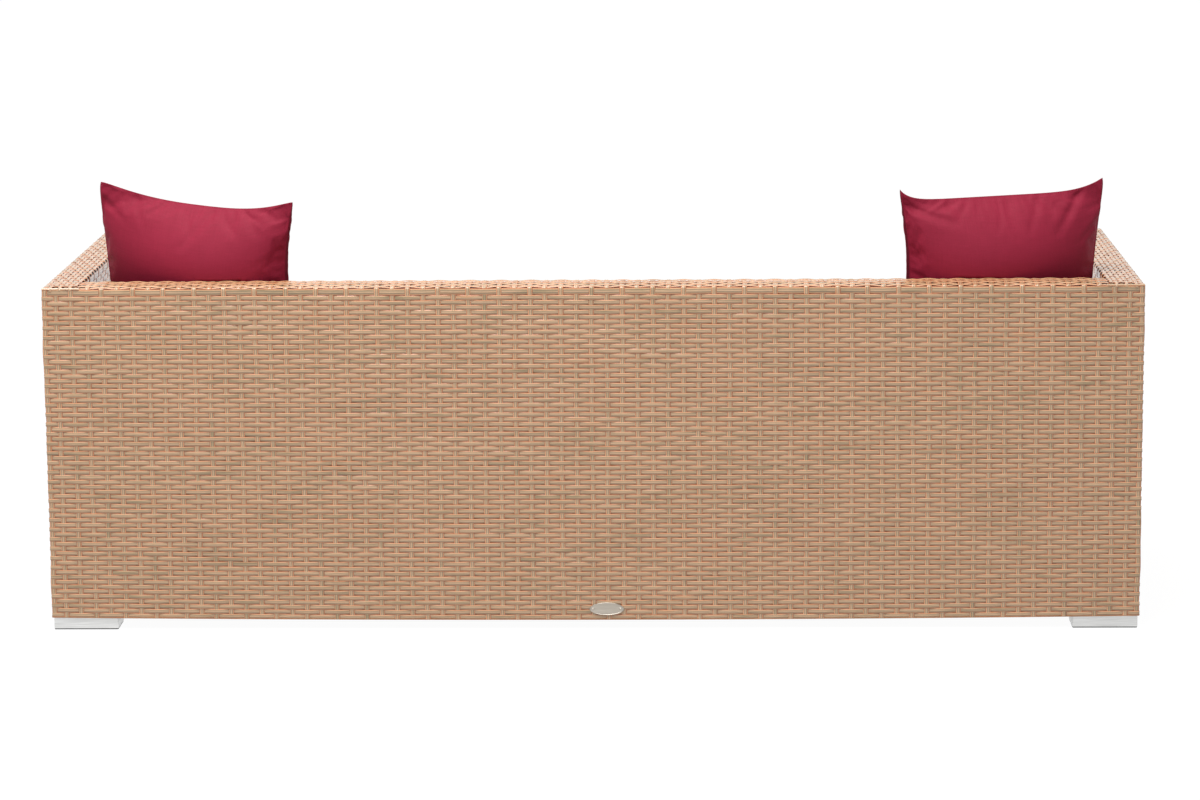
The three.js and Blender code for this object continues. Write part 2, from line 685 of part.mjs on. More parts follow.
// The height of an end cushion's top below a point, between the rings that its crown is cut into.
function seatHeightAt(side, x, y) {
  const cushionPlace = side > 0 ? 0 : seatCushionCount - 1;
  const fromCentreX = Math.abs(x - cushionCentreX(cushionPlace));
  const fromCentreY = Math.abs(y - cushionCentreY);
  const drawnInX = cushionDrawIn * (1 - (fromCentreY / (cushionDepth / 2)) ** 2);
  const drawnInY = cushionDrawIn * (1 - (fromCentreX / (cushionWidth / 2)) ** 2);
  const alongX = fromCentreX / (cushionWidth / 2 - crownInset - drawnInX);
  const alongY = fromCentreY / (cushionDepth / 2 - crownInset - drawnInY);
  const ringPlace = (1 - Math.min(Math.max(alongX, alongY), 1)) * cushionCrownSteps;
  const ring = Math.floor(ringPlace);
  const low = crownHeight(ring / cushionCrownSteps);
  const high = crownHeight(Math.min(ring + 1, cushionCrownSteps) / cushionCrownSteps);
  return cushionBottom + THREE.MathUtils.lerp(low, high, ringPlace - ring);
}

// A leaning, turned pillow slides outward to its place by the arm and back to its place by the rim,
// and then comes down until a bottom corner meets the cushion.
function addPillow(label, side, place) {
  const half = pillowSize / 2;
  const holder = new THREE.Group();
  const pillow = addMesh(`scatter_pillow_${label}`, pillowGeometry(place, side), rubyCloth, holder);
  pillow.rotation.x = -pillowLean;
  holder.rotation.z = -side * place.turn;
  holder.updateMatrixWorld(true);
  const rimOverCentre = rimHeight - (cushionBottom + cushionHeight + half * Math.cos(pillowLean));
  const corners = pillow.geometry.attributes.position;
  const below = Array.from({ length: corners.count }, (_, index) =>
    new THREE.Vector3().fromBufferAttribute(corners, index).applyMatrix4(pillow.matrixWorld),
  ).filter((point) => point.z < rimOverCentre);
  const outermost = Math.max(...below.map((point) => side * point.x));
  const rearmost = Math.max(...below.map((point) => point.y));
  const centreX = side * (armInnerX - place.armClearance - outermost);
  const centreY = backInnerY - place.rimClearance - rearmost;
  const seatHeights = [-half, half].map((x) => {
    const corner = new THREE.Vector3(x, 0, -half).applyMatrix4(pillow.matrixWorld);
    return seatHeightAt(side, centreX + corner.x, centreY + corner.y);
  });
  const centreZ = Math.max(...seatHeights) + fitGap + half * Math.cos(pillowLean);
  holder.position.set(centreX, centreY, centreZ);
  sofa.add(holder);
}

addFrame();
addWeave();
addFeet();
addOvalPlate();
addSeatCushions();
addPillow('left', 1, leftPillow);
addPillow('right', -1, rightPillow);

export default sofa;
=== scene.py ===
"""Rattan garden sofa: woven strands, stitched cushions, feet and an oval plate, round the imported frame.

Metres, +Z up. The sofa faces -Y, and left is the sitter's left, at +X.
"""
import math

import bpy
import numpy as np
from mathutils import Matrix, Vector


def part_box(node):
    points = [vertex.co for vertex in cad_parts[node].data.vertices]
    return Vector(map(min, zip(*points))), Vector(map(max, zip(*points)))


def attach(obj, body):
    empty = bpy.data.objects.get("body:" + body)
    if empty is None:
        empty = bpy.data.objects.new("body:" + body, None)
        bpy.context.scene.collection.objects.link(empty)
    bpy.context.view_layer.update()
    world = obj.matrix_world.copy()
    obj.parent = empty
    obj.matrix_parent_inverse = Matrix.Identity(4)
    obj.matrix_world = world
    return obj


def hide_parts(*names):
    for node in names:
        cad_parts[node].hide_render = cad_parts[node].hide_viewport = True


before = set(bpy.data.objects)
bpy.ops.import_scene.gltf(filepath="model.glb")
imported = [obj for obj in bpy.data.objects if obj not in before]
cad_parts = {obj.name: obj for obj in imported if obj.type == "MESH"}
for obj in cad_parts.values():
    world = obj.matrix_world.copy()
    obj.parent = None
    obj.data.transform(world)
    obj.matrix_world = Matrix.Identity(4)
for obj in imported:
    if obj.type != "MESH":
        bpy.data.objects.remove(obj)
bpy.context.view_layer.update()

# Places from the frame
back_low, back_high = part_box("weave_back_outer")
inner_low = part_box("weave_back_inner")[0]
deck_low, deck_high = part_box("weave_seat_deck")
half_width = back_high.x
rear = back_high.y
front = deck_low.y
depth = rear - front
body_bottom = back_low.z
rim_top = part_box("weave_back_rim")[1].z
deck_top = deck_high.z
wall = rear - inner_low.y
seat_half_width = half_width - wall
x_axis, y_axis, z_axis = np.eye(3)

# Strands
weft_width = 0.0097
top_weft_width = 0.0138  # of the row under the rim
rim_weft_width = 0.0072
stake_width = 0.0103
strand_thickness = 0.0013
weft_wave = 0.0008
rim_wave = 0.0010
stake_wave = 0.0004
skin_inset = rim_wave + strand_thickness / 2  # from a woven face to the middle of its skin
fold_radius = 0.0024
crown_radius = 0.06
crown_drop = 0.0035  # of a rim's outer edge, which slopes up over the crown's width
crown_width = 0.026
tuck_depth = 0.0012  # how far a strand's end sinks under its neighbours
tuck_length = 0.007
station_gap = 0.0006  # a spare station nearer than this to one that is needed is left out
marks_spread = 90  # metres over which the strands' marks start, so that no two strands look alike
strand_edge_angle = math.radians(50)

# Rows of weft, counted up the outer face from the floor side
outer_rows = 68
closed_rows = 29  # those that run round the sofa below the seat
rim_rows = 7
skin_drop = 0.0025  # how far the skin hangs below the frame
top_row_drop = 0.013  # of the top row's middle below the rim
second_row_drop = 0.0114  # of the next row's middle below that
weave_bottom = body_bottom - skin_drop
top_row_height = rim_top - top_row_drop
second_row_height = top_row_height - second_row_drop
lower_row_heights = np.linspace(weave_bottom + weft_width / 2, second_row_height, outer_rows - 1)
row_heights = np.append(lower_row_heights, top_row_height)
row_pitch = row_heights[1] - row_heights[0]
row_numbers = np.arange(outer_rows)
sag = 0.006  # of the back's lower edge, halfway between its feet
sagging_depth = 3 * skin_inset  # how far in from the back's face the weave sags

# How the strands stray, in metres, and lean, in radians: slow waves by their whole numbers along a strand
row_wander = 0.0007
row_drifts = ((7, 0.11), (16, -0.23), (39, 0.37), (58, -0.5))  # waves, and their shift from row to row
row_dent = 0.00012
row_dent_waves = (5, 11, 23)
row_tilt = 0.11
row_tilt_waves = (4, 13, 29)
weft_stray = 0.0004
stake_stray = 0.0016
stray_waves = (2, 5, 12)
strand_tilt = 0.1
strand_tilt_waves = (4, 9, 31)

# Stakes, by their distance from a corner of the sofa
stake_gaps = 72  # along the back, from corner to corner
corner_stake = 0.0068
stakes_in_wall = 3  # those of a face that stand within the thickness of the wall beside it
side_rear_stakes = np.array([0.018, 0.042, 0.066])
side_stake_steps = 25
side_front_stake = 0.014
back_stakes = np.linspace(0, 2 * half_width, stake_gaps + 1)
back_stakes[0] += corner_stake
back_stakes[-1] -= corner_stake
side_stakes = np.concatenate(
    [side_rear_stakes, np.linspace(side_rear_stakes[-1], depth - side_front_stake, side_stake_steps + 1)[1:]]
)

rng = np.random.default_rng(20)


# Meshes


def new_mesh(name, points, loops, sizes, uv=None, sharp_angle=None):
    """A mesh object from its points, the point of each face corner in turn and each face's corner count."""
    mesh = bpy.data.meshes.new(name)
    mesh.vertices.add(len(points))
    mesh.vertices.foreach_set("co", np.ascontiguousarray(points, np.float32).ravel())
    mesh.loops.add(len(loops))
    mesh.loops.foreach_set("vertex_index", np.ascontiguousarray(loops, np.int32))
    mesh.polygons.add(len(sizes))
    starts = np.concatenate([[0], np.cumsum(sizes)[:-1]])
    mesh.polygons.foreach_set("loop_start", starts.astype(np.int32))
    mesh.polygons.foreach_set("loop_total", np.asarray(sizes, np.int32))
    mesh.polygons.foreach_set("use_smooth", np.ones(len(sizes), bool))
    if uv is not None:
        layer = mesh.uv_layers.new(name="UVMap")
        layer.data.foreach_set("uv", np.ascontiguousarray(uv, np.float32).ravel())
    mesh.update(calc_edges=True)
    if sharp_angle is not None:
        mesh.set_sharp_from_angle(angle=sharp_angle)
    piece = bpy.data.objects.new(name, mesh)
    bpy.context.scene.collection.objects.link(piece)
    return piece


def finish_piece(piece, material, body, slot, *replaced, fill=None):
    """Gives a piece its material and body, and hides the imported nodes that it replaces. The slot and the
    fill are not used.
    """
    piece.data.materials.append(material)
    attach(piece, body)
    if replaced:
        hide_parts(*replaced)


def join(parts):
    """Several groups of points, face corners, face sizes and UVs as one."""
    shifts = np.cumsum([0] + [len(part[0]) for part in parts])
    loops = np.concatenate([part[1] + shift for part, shift in zip(parts, shifts)])
    points, sizes, uv = (np.concatenate([part[place] for part in parts]) for place in (0, 2, 3))
    return points, loops, sizes, uv


def grid_quads(index):
    """The quads of a grid of point numbers, with four corners each."""
    corners = [index[:-1, :-1], index[:-1, 1:], index[1:, 1:], index[1:, :-1]]
    return np.stack(corners, -1).reshape(-1, 4)


class Route:
    """A flat path of straight runs, in which each corner is turned on an arc.

    The radius is one for all corners, or a list with that of each corner at a run's end.
    """

    def __init__(self, corners, radius, closed=False):
        corners = np.asarray(corners, float)
        starts = corners if closed else corners[:-1]
        ends = np.roll(corners, -1, axis=0) if closed else corners[1:]
        runs = ends - starts
        lengths = np.hypot(runs[:, 0], runs[:, 1])
        headings = np.arctan2(runs[:, 1], runs[:, 0])
        turns = (np.roll(headings, -1) - headings + np.pi) % (2 * np.pi) - np.pi
        if not closed:
            turns[-1] = 0
        radii = np.broadcast_to(radius, len(runs))
        cut_after = radii * np.tan(np.abs(turns) / 2)
        self.cut_before = np.roll(cut_after, 1)
        parts = []
        for run, direction in enumerate(runs / lengths[:, None]):
            begin = starts[run] + direction * self.cut_before[run]
            straight = lengths[run] - self.cut_before[run] - cut_after[run]
            parts.append((*begin, headings[run], 0, straight))
            if turns[run]:
                bend = np.sign(turns[run]) / radii[run]
                tangent_point = ends[run] - direction * cut_after[run]
                parts.append((*tangent_point, headings[run], bend, radii[run] * abs(turns[run])))
        self.x, self.y, self.heading, self.bend, span = np.array(parts).T
        self.begin = np.concatenate([[0], np.cumsum(span)[:-1]])
        self.length = span.sum()
        self.run_begin = self.begin[self.bend == 0]
        arcs = self.bend != 0
        arc_shares = np.linspace(0, 1, 4)
        self.arc_stations = (self.begin[arcs, None] + span[arcs, None] * arc_shares).ravel()

    def at(self, distance):
        """Points and headings at distances along the path, whose heading turns evenly on an arc."""
        distance = np.asarray(distance, float)
        part = np.clip(np.searchsorted(self.begin, distance, side="right") - 1, 0, len(self.begin) - 1)
        gone = distance - self.begin[part]
        bend, heading = self.bend[part], self.heading[part]
        straight = bend == 0
        divisor = np.where(straight, 1, bend)
        turned = heading + bend * gone
        x = np.where(straight, gone * np.cos(heading), (np.sin(turned) - np.sin(heading)) / divisor)
        y = np.where(straight, gone * np.sin(heading), (np.cos(heading) - np.cos(turned)) / divisor)
        return self.x[part] + x, self.y[part] + y, turned

    def along(self, run, from_corner):
        """The distance along the path of a place on a run, given from the corner where the run starts."""
        return self.run_begin[run] + from_corner - self.cut_before[run]


def slow_waves(strands, share_along, size, counts, seed):
    """Slow waves along strands: a sum of sines of whole numbers of waves, each with a random phase."""
    phases = np.random.default_rng(seed).uniform(0, 2 * np.pi, (len(counts), strands, 1))
    angles = 2 * np.pi * np.array(counts)[:, None, None] * share_along + phases
    return np.sin(angles).mean(axis=0) * size


# The section of a strand: two ridges with a groove between them, flat behind
across_shares = np.array([-1, -0.52, 0, 0.52, 1])
height_shares = np.array([0.06, 1, 0.82, 1, 0.06])
section_points = len(across_shares)


def sweep(centres, normals, tangents, distance, width, closed=False, tilt=0):
    """The section of a strand carried along many strands at once.

    At each station the section lies across the tangent and rises along the normal, turned by the tilt.
    The width is one for all strands, or a list with that of each.
    Returns points, face corners, face sizes and UVs: U is the distance along the strand in metres, from
    a start of the strand's own, and V runs from 0 to 1 across its top.
    """
    strands, stations, _ = centres.shape
    normals, tangents = np.broadcast_to(normals, centres.shape), np.broadcast_to(tangents, centres.shape)
    sides = np.cross(normals, tangents)
    tilt = np.broadcast_to(tilt, (strands, stations))[..., None]
    up = normals * np.cos(tilt) - sides * np.sin(tilt)
    out = sides * np.cos(tilt) + normals * np.sin(tilt)
    widths = across_shares * np.broadcast_to(width, strands)[:, None, None] / 2
    heights = (height_shares - 0.5) * strand_thickness
    points = centres[:, :, None] + out[:, :, None] * widths[..., None] + up[:, :, None] * heights[:, None]
    steps = stations if closed else stations - 1
    grid = np.meshgrid(np.arange(strands), np.arange(steps), np.arange(section_points), indexing="ij")
    strand, step, place = (axis.ravel() for axis in grid)
    next_step, next_place = step + 1, (place + 1) % section_points
    corners = [(step, place), (next_step, place), (next_step, next_place), (step, next_place)]
    quads = [(strand * stations + along % stations) * section_points + across for along, across in corners]
    loops = np.stack(quads, -1).ravel()
    u = rng.uniform(0, marks_spread, (strands, 1)) + distance
    v = np.linspace(0, 1, section_points)
    quad_u = np.stack([u[strand, along] for along, across in corners], -1)
    quad_v = np.stack([v[across] for along, across in corners], -1)
    uv = np.stack([quad_u.ravel(), quad_v.ravel()], -1)
    sizes = np.full(len(strand), 4)
    if not closed:
        ring = np.arange(section_points)
        base = (np.arange(strands) * stations * section_points)[:, None]
        last = base + (stations - 1) * section_points
        caps = np.concatenate([base + ring, last + ring[::-1]]).ravel()
        loops = np.concatenate([loops, caps])
        uv = np.concatenate([uv, np.tile([0, 0.5], (len(caps), 1))])
        sizes = np.concatenate([sizes, np.full(2 * strands, section_points)])
    return points.reshape(-1, 3), loops, sizes, uv


def woven_piece(name, parts, *replaced):
    """One piece of the weave from several swept groups of strands.

    The outer face of the back sags by the sag times 1 - x squared, less and less up to the rim.
    """
    points, loops, sizes, uv = join(parts)
    on_back = points[:, 1] > rear - sagging_depth
    low_share = ((rim_top - points[:, 2]) / (rim_top - body_bottom)).clip(0, 1)
    along_share = 1 - (points[:, 0] / half_width) ** 2
    points[:, 2] -= np.where(on_back, sag * low_share * along_share.clip(0), 0)
    piece = new_mesh(name, points, loops, sizes, uv, strand_edge_angle)
    finish_piece(piece, rattan, "sofa_body", "woven_rattan", *replaced)


# A weft is level across a stake, from one edge of the stake over its middle to the other
stake_offsets = np.array([-0.5, 0, 0.5]) * stake_width
crest_shares = np.array([0.96, 1, 0.96])


def spaced_stations(needed, spare):
    """All the stations that are needed, and the spare ones that don't lie too near them."""
    spare = np.asarray(spare)
    far_enough = np.abs(spare[:, None] - needed).min(axis=1) > station_gap
    return np.sort(np.concatenate([needed, spare[far_enough]]))


def crossing_stations(crossings, spare):
    """Stations over and beside each crossing, and the spare ones that don't lie too near them."""
    return spaced_stations((crossings[:, None] + stake_offsets).ravel(), spare)


def weft_swing(distance, crossings, over, period=None):
    """A weft's swing out of the skin, from -1 to 1: level across each stake and straight in between."""
    order = np.argsort(crossings)
    places = (crossings[order][:, None] + stake_offsets).ravel()
    swings = (over[order][:, None] * crest_shares).ravel()
    return np.interp(distance, places, swings, period=period)


def alternate(numbers):
    """1 for even numbers and -1 for odd ones."""
    return np.where(numbers % 2 == 0, 1, -1)


# Wefts that run round the sofa


def ring_of_wefts(route, crossings, stakes, rows):
    """Closed wefts along a plan route, one for each row, which pass over every other stake.

    Each row swings opposite to the row below it. A row's height wanders by the mean of a few sines along
    the ring, which shift from row to row, and its depth and tilt by slow waves.
    """
    distance = crossing_stations(crossings, route.arc_stations)
    x, y, heading = route.at(distance)
    share = distance / route.length
    count = len(rows)
    swing = weft_swing(distance, crossings, alternate(stakes), route.length)
    dents = np.abs(slow_waves(count, share, row_dent, row_dent_waves, rows[0] + 1))
    out = alternate(rows)[:, None] * swing * weft_wave - dents
    drifts = [np.sin(2 * np.pi * waves * share + rows[:, None] * shift) for waves, shift in row_drifts]
    rise = row_wander * np.mean(drifts, axis=0)
    tilt = slow_waves(count, share, row_tilt, row_tilt_waves, rows[0] + 3)
    level = np.zeros_like(x)
    normal = np.stack([np.sin(heading), -np.cos(heading), level], -1)
    tangent = np.stack([np.cos(heading), np.sin(heading), level], -1)
    centres = np.stack([x, y, level], -1) + normal * out[..., None]
    centres[..., 2] = row_heights[rows][:, None] + rise
    lengths = np.append(distance, distance[0] + route.length)
    widths = np.where(rows == outer_rows - 1, top_weft_width, weft_width)
    return sweep(centres, normal, tangent, lengths, widths, True, tilt)


# Stakes are numbered round the sofa from the front of the left arm: its side, the back, the right side
# and the front. An inner face's stakes come over the rim, and so keep the numbers of the outer face's.
side_count = len(side_stakes)
back_count = len(back_stakes)
left_numbers = side_count - 1 - np.arange(side_count)
back_numbers = side_count + np.arange(back_count)
right_numbers = side_count + back_count + np.arange(side_count)
front_numbers = 2 * side_count + back_count + np.arange(back_count)
shared = slice(stakes_in_wall, back_count - stakes_in_wall)  # back and front stakes between the arms
inside = slice(stakes_in_wall, side_count)  # side stakes that come down on the inner face
arm_front = slice(0, stakes_in_wall)

outer_x = half_width - skin_inset
outer_y = rear - skin_inset
inner_x = seat_half_width + skin_inset
inner_y = inner_low.y + skin_inset
outer_corners = [(outer_x, -outer_y), (outer_x, outer_y), (-outer_x, outer_y), (-outer_x, -outer_y)]
inner_corners = [(-inner_x, -outer_y), (-inner_x, inner_y), (inner_x, inner_y), (inner_x, -outer_y)]


def crossings_of(route, places_by_run):
    """Crossings along a route from the places on each run, given from the corner where the run starts."""
    return np.concatenate([route.along(run, places) for run, places in enumerate(places_by_run)])


outer_places_by_run = [
    depth - side_stakes - skin_inset,
    back_stakes - skin_inset,
    side_stakes - skin_inset,
    back_stakes - skin_inset,
]
closed_route = Route(outer_corners, fold_radius, True)
closed_crossings = crossings_of(closed_route, outer_places_by_run)
closed_numbers = np.concatenate([left_numbers, back_numbers, right_numbers, front_numbers])

inner_side = depth - side_stakes[inside] - skin_inset  # from the inner front corner, going to the rear
open_route = Route(outer_corners + inner_corners, fold_radius, True)
open_crossings = crossings_of(
    open_route,
    [
        *outer_places_by_run[:3],
        back_stakes[arm_front] - skin_inset,
        inner_side,
        inner_x - half_width + back_stakes[shared],
        inner_y + outer_y - inner_side,
        wall - skin_inset - back_stakes[arm_front],
    ],
)
open_numbers = np.concatenate(
    [
        left_numbers,
        back_numbers,
        right_numbers,
        front_numbers[arm_front],
        right_numbers[inside],
        back_numbers[shared][::-1],
        left_numbers[inside],
        front_numbers[::-1][arm_front],
    ]
)


# Strands that run over a wall, the rim, the apron or the deck


def strand_family(
    route, crossings, numbers, places, place_numbers, wave, origin, sideways, inward, seed, **options
):
    """Strands that follow one upright route side by side, each weaving opposite to the one next to it.

    The route's plane has the inward direction and the height as its axes. Each strand lies at its own
    place in the sideways direction from the origin. The options are level, for strands that stay level
    across what they cross, end, a distance along the route, tucks, for ends that sink under their
    neighbours, levels and leans, each strand's own height over the route and turn about its own length,
    stray, how far it wanders sideways, and width.
    """
    end = options.get("end", route.length)
    first_tucks, last_tucks = options.get("tucks", (False, False))
    spare = [0, end, *route.arc_stations] + [tuck_length] * first_tucks + [end - tuck_length] * last_tucks
    if options.get("level"):
        distance = crossing_stations(crossings, spare)
        swing = weft_swing(distance, crossings, alternate(numbers))
    else:
        distance = spaced_stations(crossings, spare)
        swing = np.interp(distance, crossings, alternate(numbers))
    kept = (distance >= 0) & (distance <= end)
    distance, swing = distance[kept], swing[kept]
    inward_place, height, heading = route.at(distance)
    count = len(places)
    share = distance / route.length
    out = alternate(place_numbers)[:, None] * swing * wave
    if first_tucks:
        out = out - tuck_depth * np.clip(1 - distance / tuck_length, 0, 1)
    if last_tucks:
        out = out - tuck_depth * np.clip(1 - (end - distance) / tuck_length, 0, 1)
    wander = slow_waves(count, share, options.get("stray", weft_stray), stray_waves, seed + 1)
    leans = np.broadcast_to(options.get("leans", 0.0), count)[:, None]
    levels = np.broadcast_to(options.get("levels", 0.0), count)[:, None, None]
    tilt = leans + slow_waves(count, share, strand_tilt, strand_tilt_waves, seed + 2)
    normal = -np.sin(heading)[:, None] * inward + np.cos(heading)[:, None] * z_axis
    tangent = np.cos(heading)[:, None] * inward + np.sin(heading)[:, None] * z_axis
    flat = np.asarray(origin) + inward_place[:, None] * inward + height[:, None] * z_axis
    lateral = places[:, None] + wander
    outward = normal * np.cos(leans)[..., None] - np.cross(normal, tangent) * np.sin(leans)[..., None]
    centres = flat + lateral[..., None] * sideways + levels * z_axis + outward * out[..., None]
    return sweep(centres, normal, tangent, distance, options.get("width", stake_width), tilt=tilt)


below_deck = 0.008  # how far the inner skins go on under the deck's top
first_rim_inset, last_rim_inset = 0.0072, 0.0642
slope_margin = 0.003  # a row nearer than this to the crown's end counts as level
top_middle = rim_top - skin_inset
deck_middle = deck_top - skin_inset
edge_top = top_middle - crown_drop
inner_top = wall - skin_inset
rim_insets = np.linspace(first_rim_inset, last_rim_inset, rim_rows)
rim_row_numbers = outer_rows + np.arange(rim_rows)
wall_route = Route(
    [
        (skin_inset, weave_bottom),
        (skin_inset, edge_top),
        (crown_width, top_middle),
        (inner_top, top_middle),
        (inner_top, deck_top - below_deck),
    ],
    [fold_radius, crown_radius, fold_radius, 0],
)
crown_length = math.hypot(crown_width - skin_inset, crown_drop)
rim_places = np.where(
    rim_insets < crown_width - slope_margin,
    wall_route.along(1, (rim_insets - skin_inset) * crown_length / (crown_width - skin_inset)),
    wall_route.along(2, rim_insets - crown_width),
)
outer_places = wall_route.along(0, row_heights - weave_bottom)
inner_places = wall_route.along(3, top_middle - row_heights[closed_rows:][::-1])
rim_levels, rim_headings = wall_route.at(rim_places)[1:]


def wall_path(parts=3):
    """A wall's route, with the places and numbers of the rows on its outer face, its rim and its inner face.

    A path of fewer parts leaves out the rows of the later ones.
    """
    places = [outer_places, rim_places, inner_places][:parts]
    numbers = [row_numbers, rim_row_numbers, row_numbers[closed_rows:][::-1]][:parts]
    return wall_route, np.concatenate(places), np.concatenate(numbers)


# Where the sides of the weave stand, and which way their walls go in
faces = {
    "back": ((0, rear, 0), -x_axis, -y_axis),
    "left": ((half_width, 0, 0), -y_axis, -x_axis),
    "right": ((-half_width, 0, 0), -y_axis, x_axis),
    "front": ((0, front, 0), x_axis, y_axis),
}


def stakes_of(face, places, numbers, path, seed, **options):
    """The stakes of one face, at places given in its sideways direction, along a route with its crossings."""
    options["stray"] = stake_stray
    return strand_family(*path, places, numbers, -stake_wave, *faces[face], seed, **options)


edging_rise = 0.0002  # of the lower edging's middle over the skin's end
edging_width = 2.2 * skin_inset
corner_edging_ends = (0.001, 0.0015)  # past the arm's inner face, and short of its outer one


def plain_strand(points, tangents, distance, normal, width, closed=False):
    """One strand that crosses nothing, with its top facing the normal all along."""
    return sweep(points[None], normal, tangents[None], distance, width, closed)


def lower_edging():
    """The strand under the lower edge, which hides the stakes' ends."""
    distance = np.sort(np.concatenate([closed_crossings, closed_route.arc_stations]))
    x, y, heading = closed_route.at(distance)
    points = np.stack([x, y, np.full_like(x, weave_bottom + edging_rise)], -1)
    tangents = np.stack([np.cos(heading), np.sin(heading), np.zeros_like(x)], -1)
    lengths = np.append(distance, distance[0] + closed_route.length)
    return plain_strand(points, tangents, lengths, -z_axis, edging_width, True)


def corner_edging(side, place, level, normal, width):
    """A strand across the rear end of an arm's rim, at a place in from the back's face and a height."""
    inner_end, outer_end = corner_edging_ends
    ends = [seat_half_width - inner_end, half_width - outer_end]
    points = np.array([(side * x, rear - place, level) for x in ends])
    return plain_strand(points, np.tile(side * x_axis, (2, 1)), np.array([0, wall]), normal, width)


# The stakes' places across the back and along a side. Some end under the edge of a rim, and some at its
# far side
across_back = back_stakes - half_width
along_side = side_stakes - rear
over_edge = {"end": wall_route.along(1, fold_radius) + tuck_length, "tucks": (False, True)}
over_rim = {"end": wall_route.along(2, inner_top - crown_width - fold_radius)}


def add_wall_stakes():
    """The stakes of the back and the arms."""
    # The back's stakes between the arms come down inside, and the end ones tuck under the arms' rims
    ends = np.r_[0:stakes_in_wall, back_count - stakes_in_wall : back_count]
    back = [
        stakes_of("back", across_back[shared], back_numbers[shared], wall_path(), 10),
        stakes_of("back", across_back[ends], back_numbers[ends], wall_path(1), 20, **over_edge),
    ]
    woven_piece("stakes_back", back, "weave_back_outer", "weave_back_inner", "weave_back_rim")

    # The arms' rear stakes end over the back, and three stand in each arm's front end
    for label, numbers, end_stakes, seed in (
        ("left", left_numbers, slice(back_count - stakes_in_wall, back_count), 40),
        ("right", right_numbers, arm_front, 50),
    ):
        places, front_places = along_side[arm_front], across_back[end_stakes]
        arm = [
            stakes_of(label, along_side[inside], numbers[inside], wall_path(), seed),
            stakes_of(label, places, numbers[arm_front], wall_path(2), seed + 3, **over_rim),
            stakes_of("front", front_places, front_numbers[end_stakes], wall_path(1), seed + 6, **over_edge),
        ]
        panels = [f"weave_arm_{label}_{part}" for part in ("outer", "rim", "inner", "front")]
        woven_piece(f"stakes_{label}_arm", arm, *panels)


rim_overlap = 0.003  # how far the back rim's wefts reach into the arms
fold_end = edge_top - 0.0036  # the height to which the arm rims' wefts fold down at the front and rear
# At each rear corner one strand covers the rim's fold, and one lies under its gaps. For each: its place in
# from the back's face, its height, its normal and its width
corner_strands = (
    (1.1 * skin_inset, edge_top + 0.0002, (y_axis + z_axis) / math.sqrt(2), 0.0052),
    (0.0095, edge_top - 0.0014, z_axis, 0.015),
)


def add_rims():
    """The wefts of the rims. Those of the back tuck under the arms' rims, and those of the arms fold down."""
    back_length = 2 * (seat_half_width + rim_overlap)
    back_route = Route([(0, top_middle), (back_length, top_middle)], 0)
    arm_route = Route(
        [
            (skin_inset, fold_end),
            (skin_inset, edge_top),
            (crown_width, top_middle),
            (depth - crown_width, top_middle),
            (depth - skin_inset, edge_top),
            (depth - skin_inset, fold_end),
        ],
        [fold_radius, crown_radius, crown_radius, fold_radius, 0],
    )
    from_front = (depth - side_stakes)[::-1]
    arm_crossings = np.select(
        [from_front < crown_width, from_front > depth - crown_width],
        [arm_route.along(1, from_front - skin_inset), arm_route.along(3, from_front - depth + crown_width)],
        arm_route.along(2, from_front - crown_width),
    )
    look = {"level": True, "width": rim_weft_width, "levels": rim_levels - top_middle}
    rims = [
        strand_family(
            back_route, back_stakes[shared] - wall + rim_overlap, back_numbers[shared],
            rear - rim_insets, rim_row_numbers, rim_wave,
            (-back_length / 2, 0, 0), y_axis, x_axis, 50, tucks=(True, True), leans=-rim_headings, **look,
        )
    ]
    for side, numbers in ((1, left_numbers), (-1, right_numbers)):
        rims.append(
            strand_family(
                arm_route, arm_crossings, numbers[::-1],
                side * (half_width - rim_insets), rim_row_numbers, rim_wave,
                (0, front, 0), x_axis, y_axis, 60 + side, leans=side * rim_headings, **look,
            )
        )
    rims += [corner_edging(side, *strand) for side in (1, -1) for strand in corner_strands]
    woven_piece("rim_wefts", rims)


deck_gap = 0.001  # between the deck and the inner faces
first_deck_row = 0.0055


def add_deck():
    """The apron's stakes, which fold back over its top edge and run on through the deck, and its wefts."""
    deck_end = depth - wall - deck_gap
    deck_route = Route(
        [(skin_inset, weave_bottom), (skin_inset, deck_middle), (deck_end, deck_middle)], fold_radius
    )
    deck_rows = int((deck_end - first_deck_row - weft_width / 2) / row_pitch) + 1
    deck_numbers = closed_rows + np.arange(deck_rows)
    apron_places = deck_route.along(0, row_heights[:closed_rows] - weave_bottom)
    deck_places = deck_route.along(1, first_deck_row + np.arange(deck_rows) * row_pitch)
    crossed_rows = np.concatenate([row_numbers[:closed_rows], deck_numbers])
    path = (deck_route, np.concatenate([apron_places, deck_places]), crossed_rows)
    stakes = stakes_of("front", across_back[shared], front_numbers[shared], path, 70)
    woven_piece("stakes_front_and_deck", [stakes], "weave_front_apron", "weave_seat_deck")
    deck_width = 2 * (seat_half_width - deck_gap)
    level_route = Route([(0, deck_middle), (deck_width, deck_middle)], 0)
    wefts = strand_family(
        level_route, back_stakes[shared] - wall - deck_gap, front_numbers[shared],
        front + deck_route.at(deck_places)[0], deck_numbers, weft_wave,
        (-deck_width / 2, 0, 0), y_axis, x_axis, 80, level=True, width=weft_width,
    )
    woven_piece("deck_wefts", [wefts])


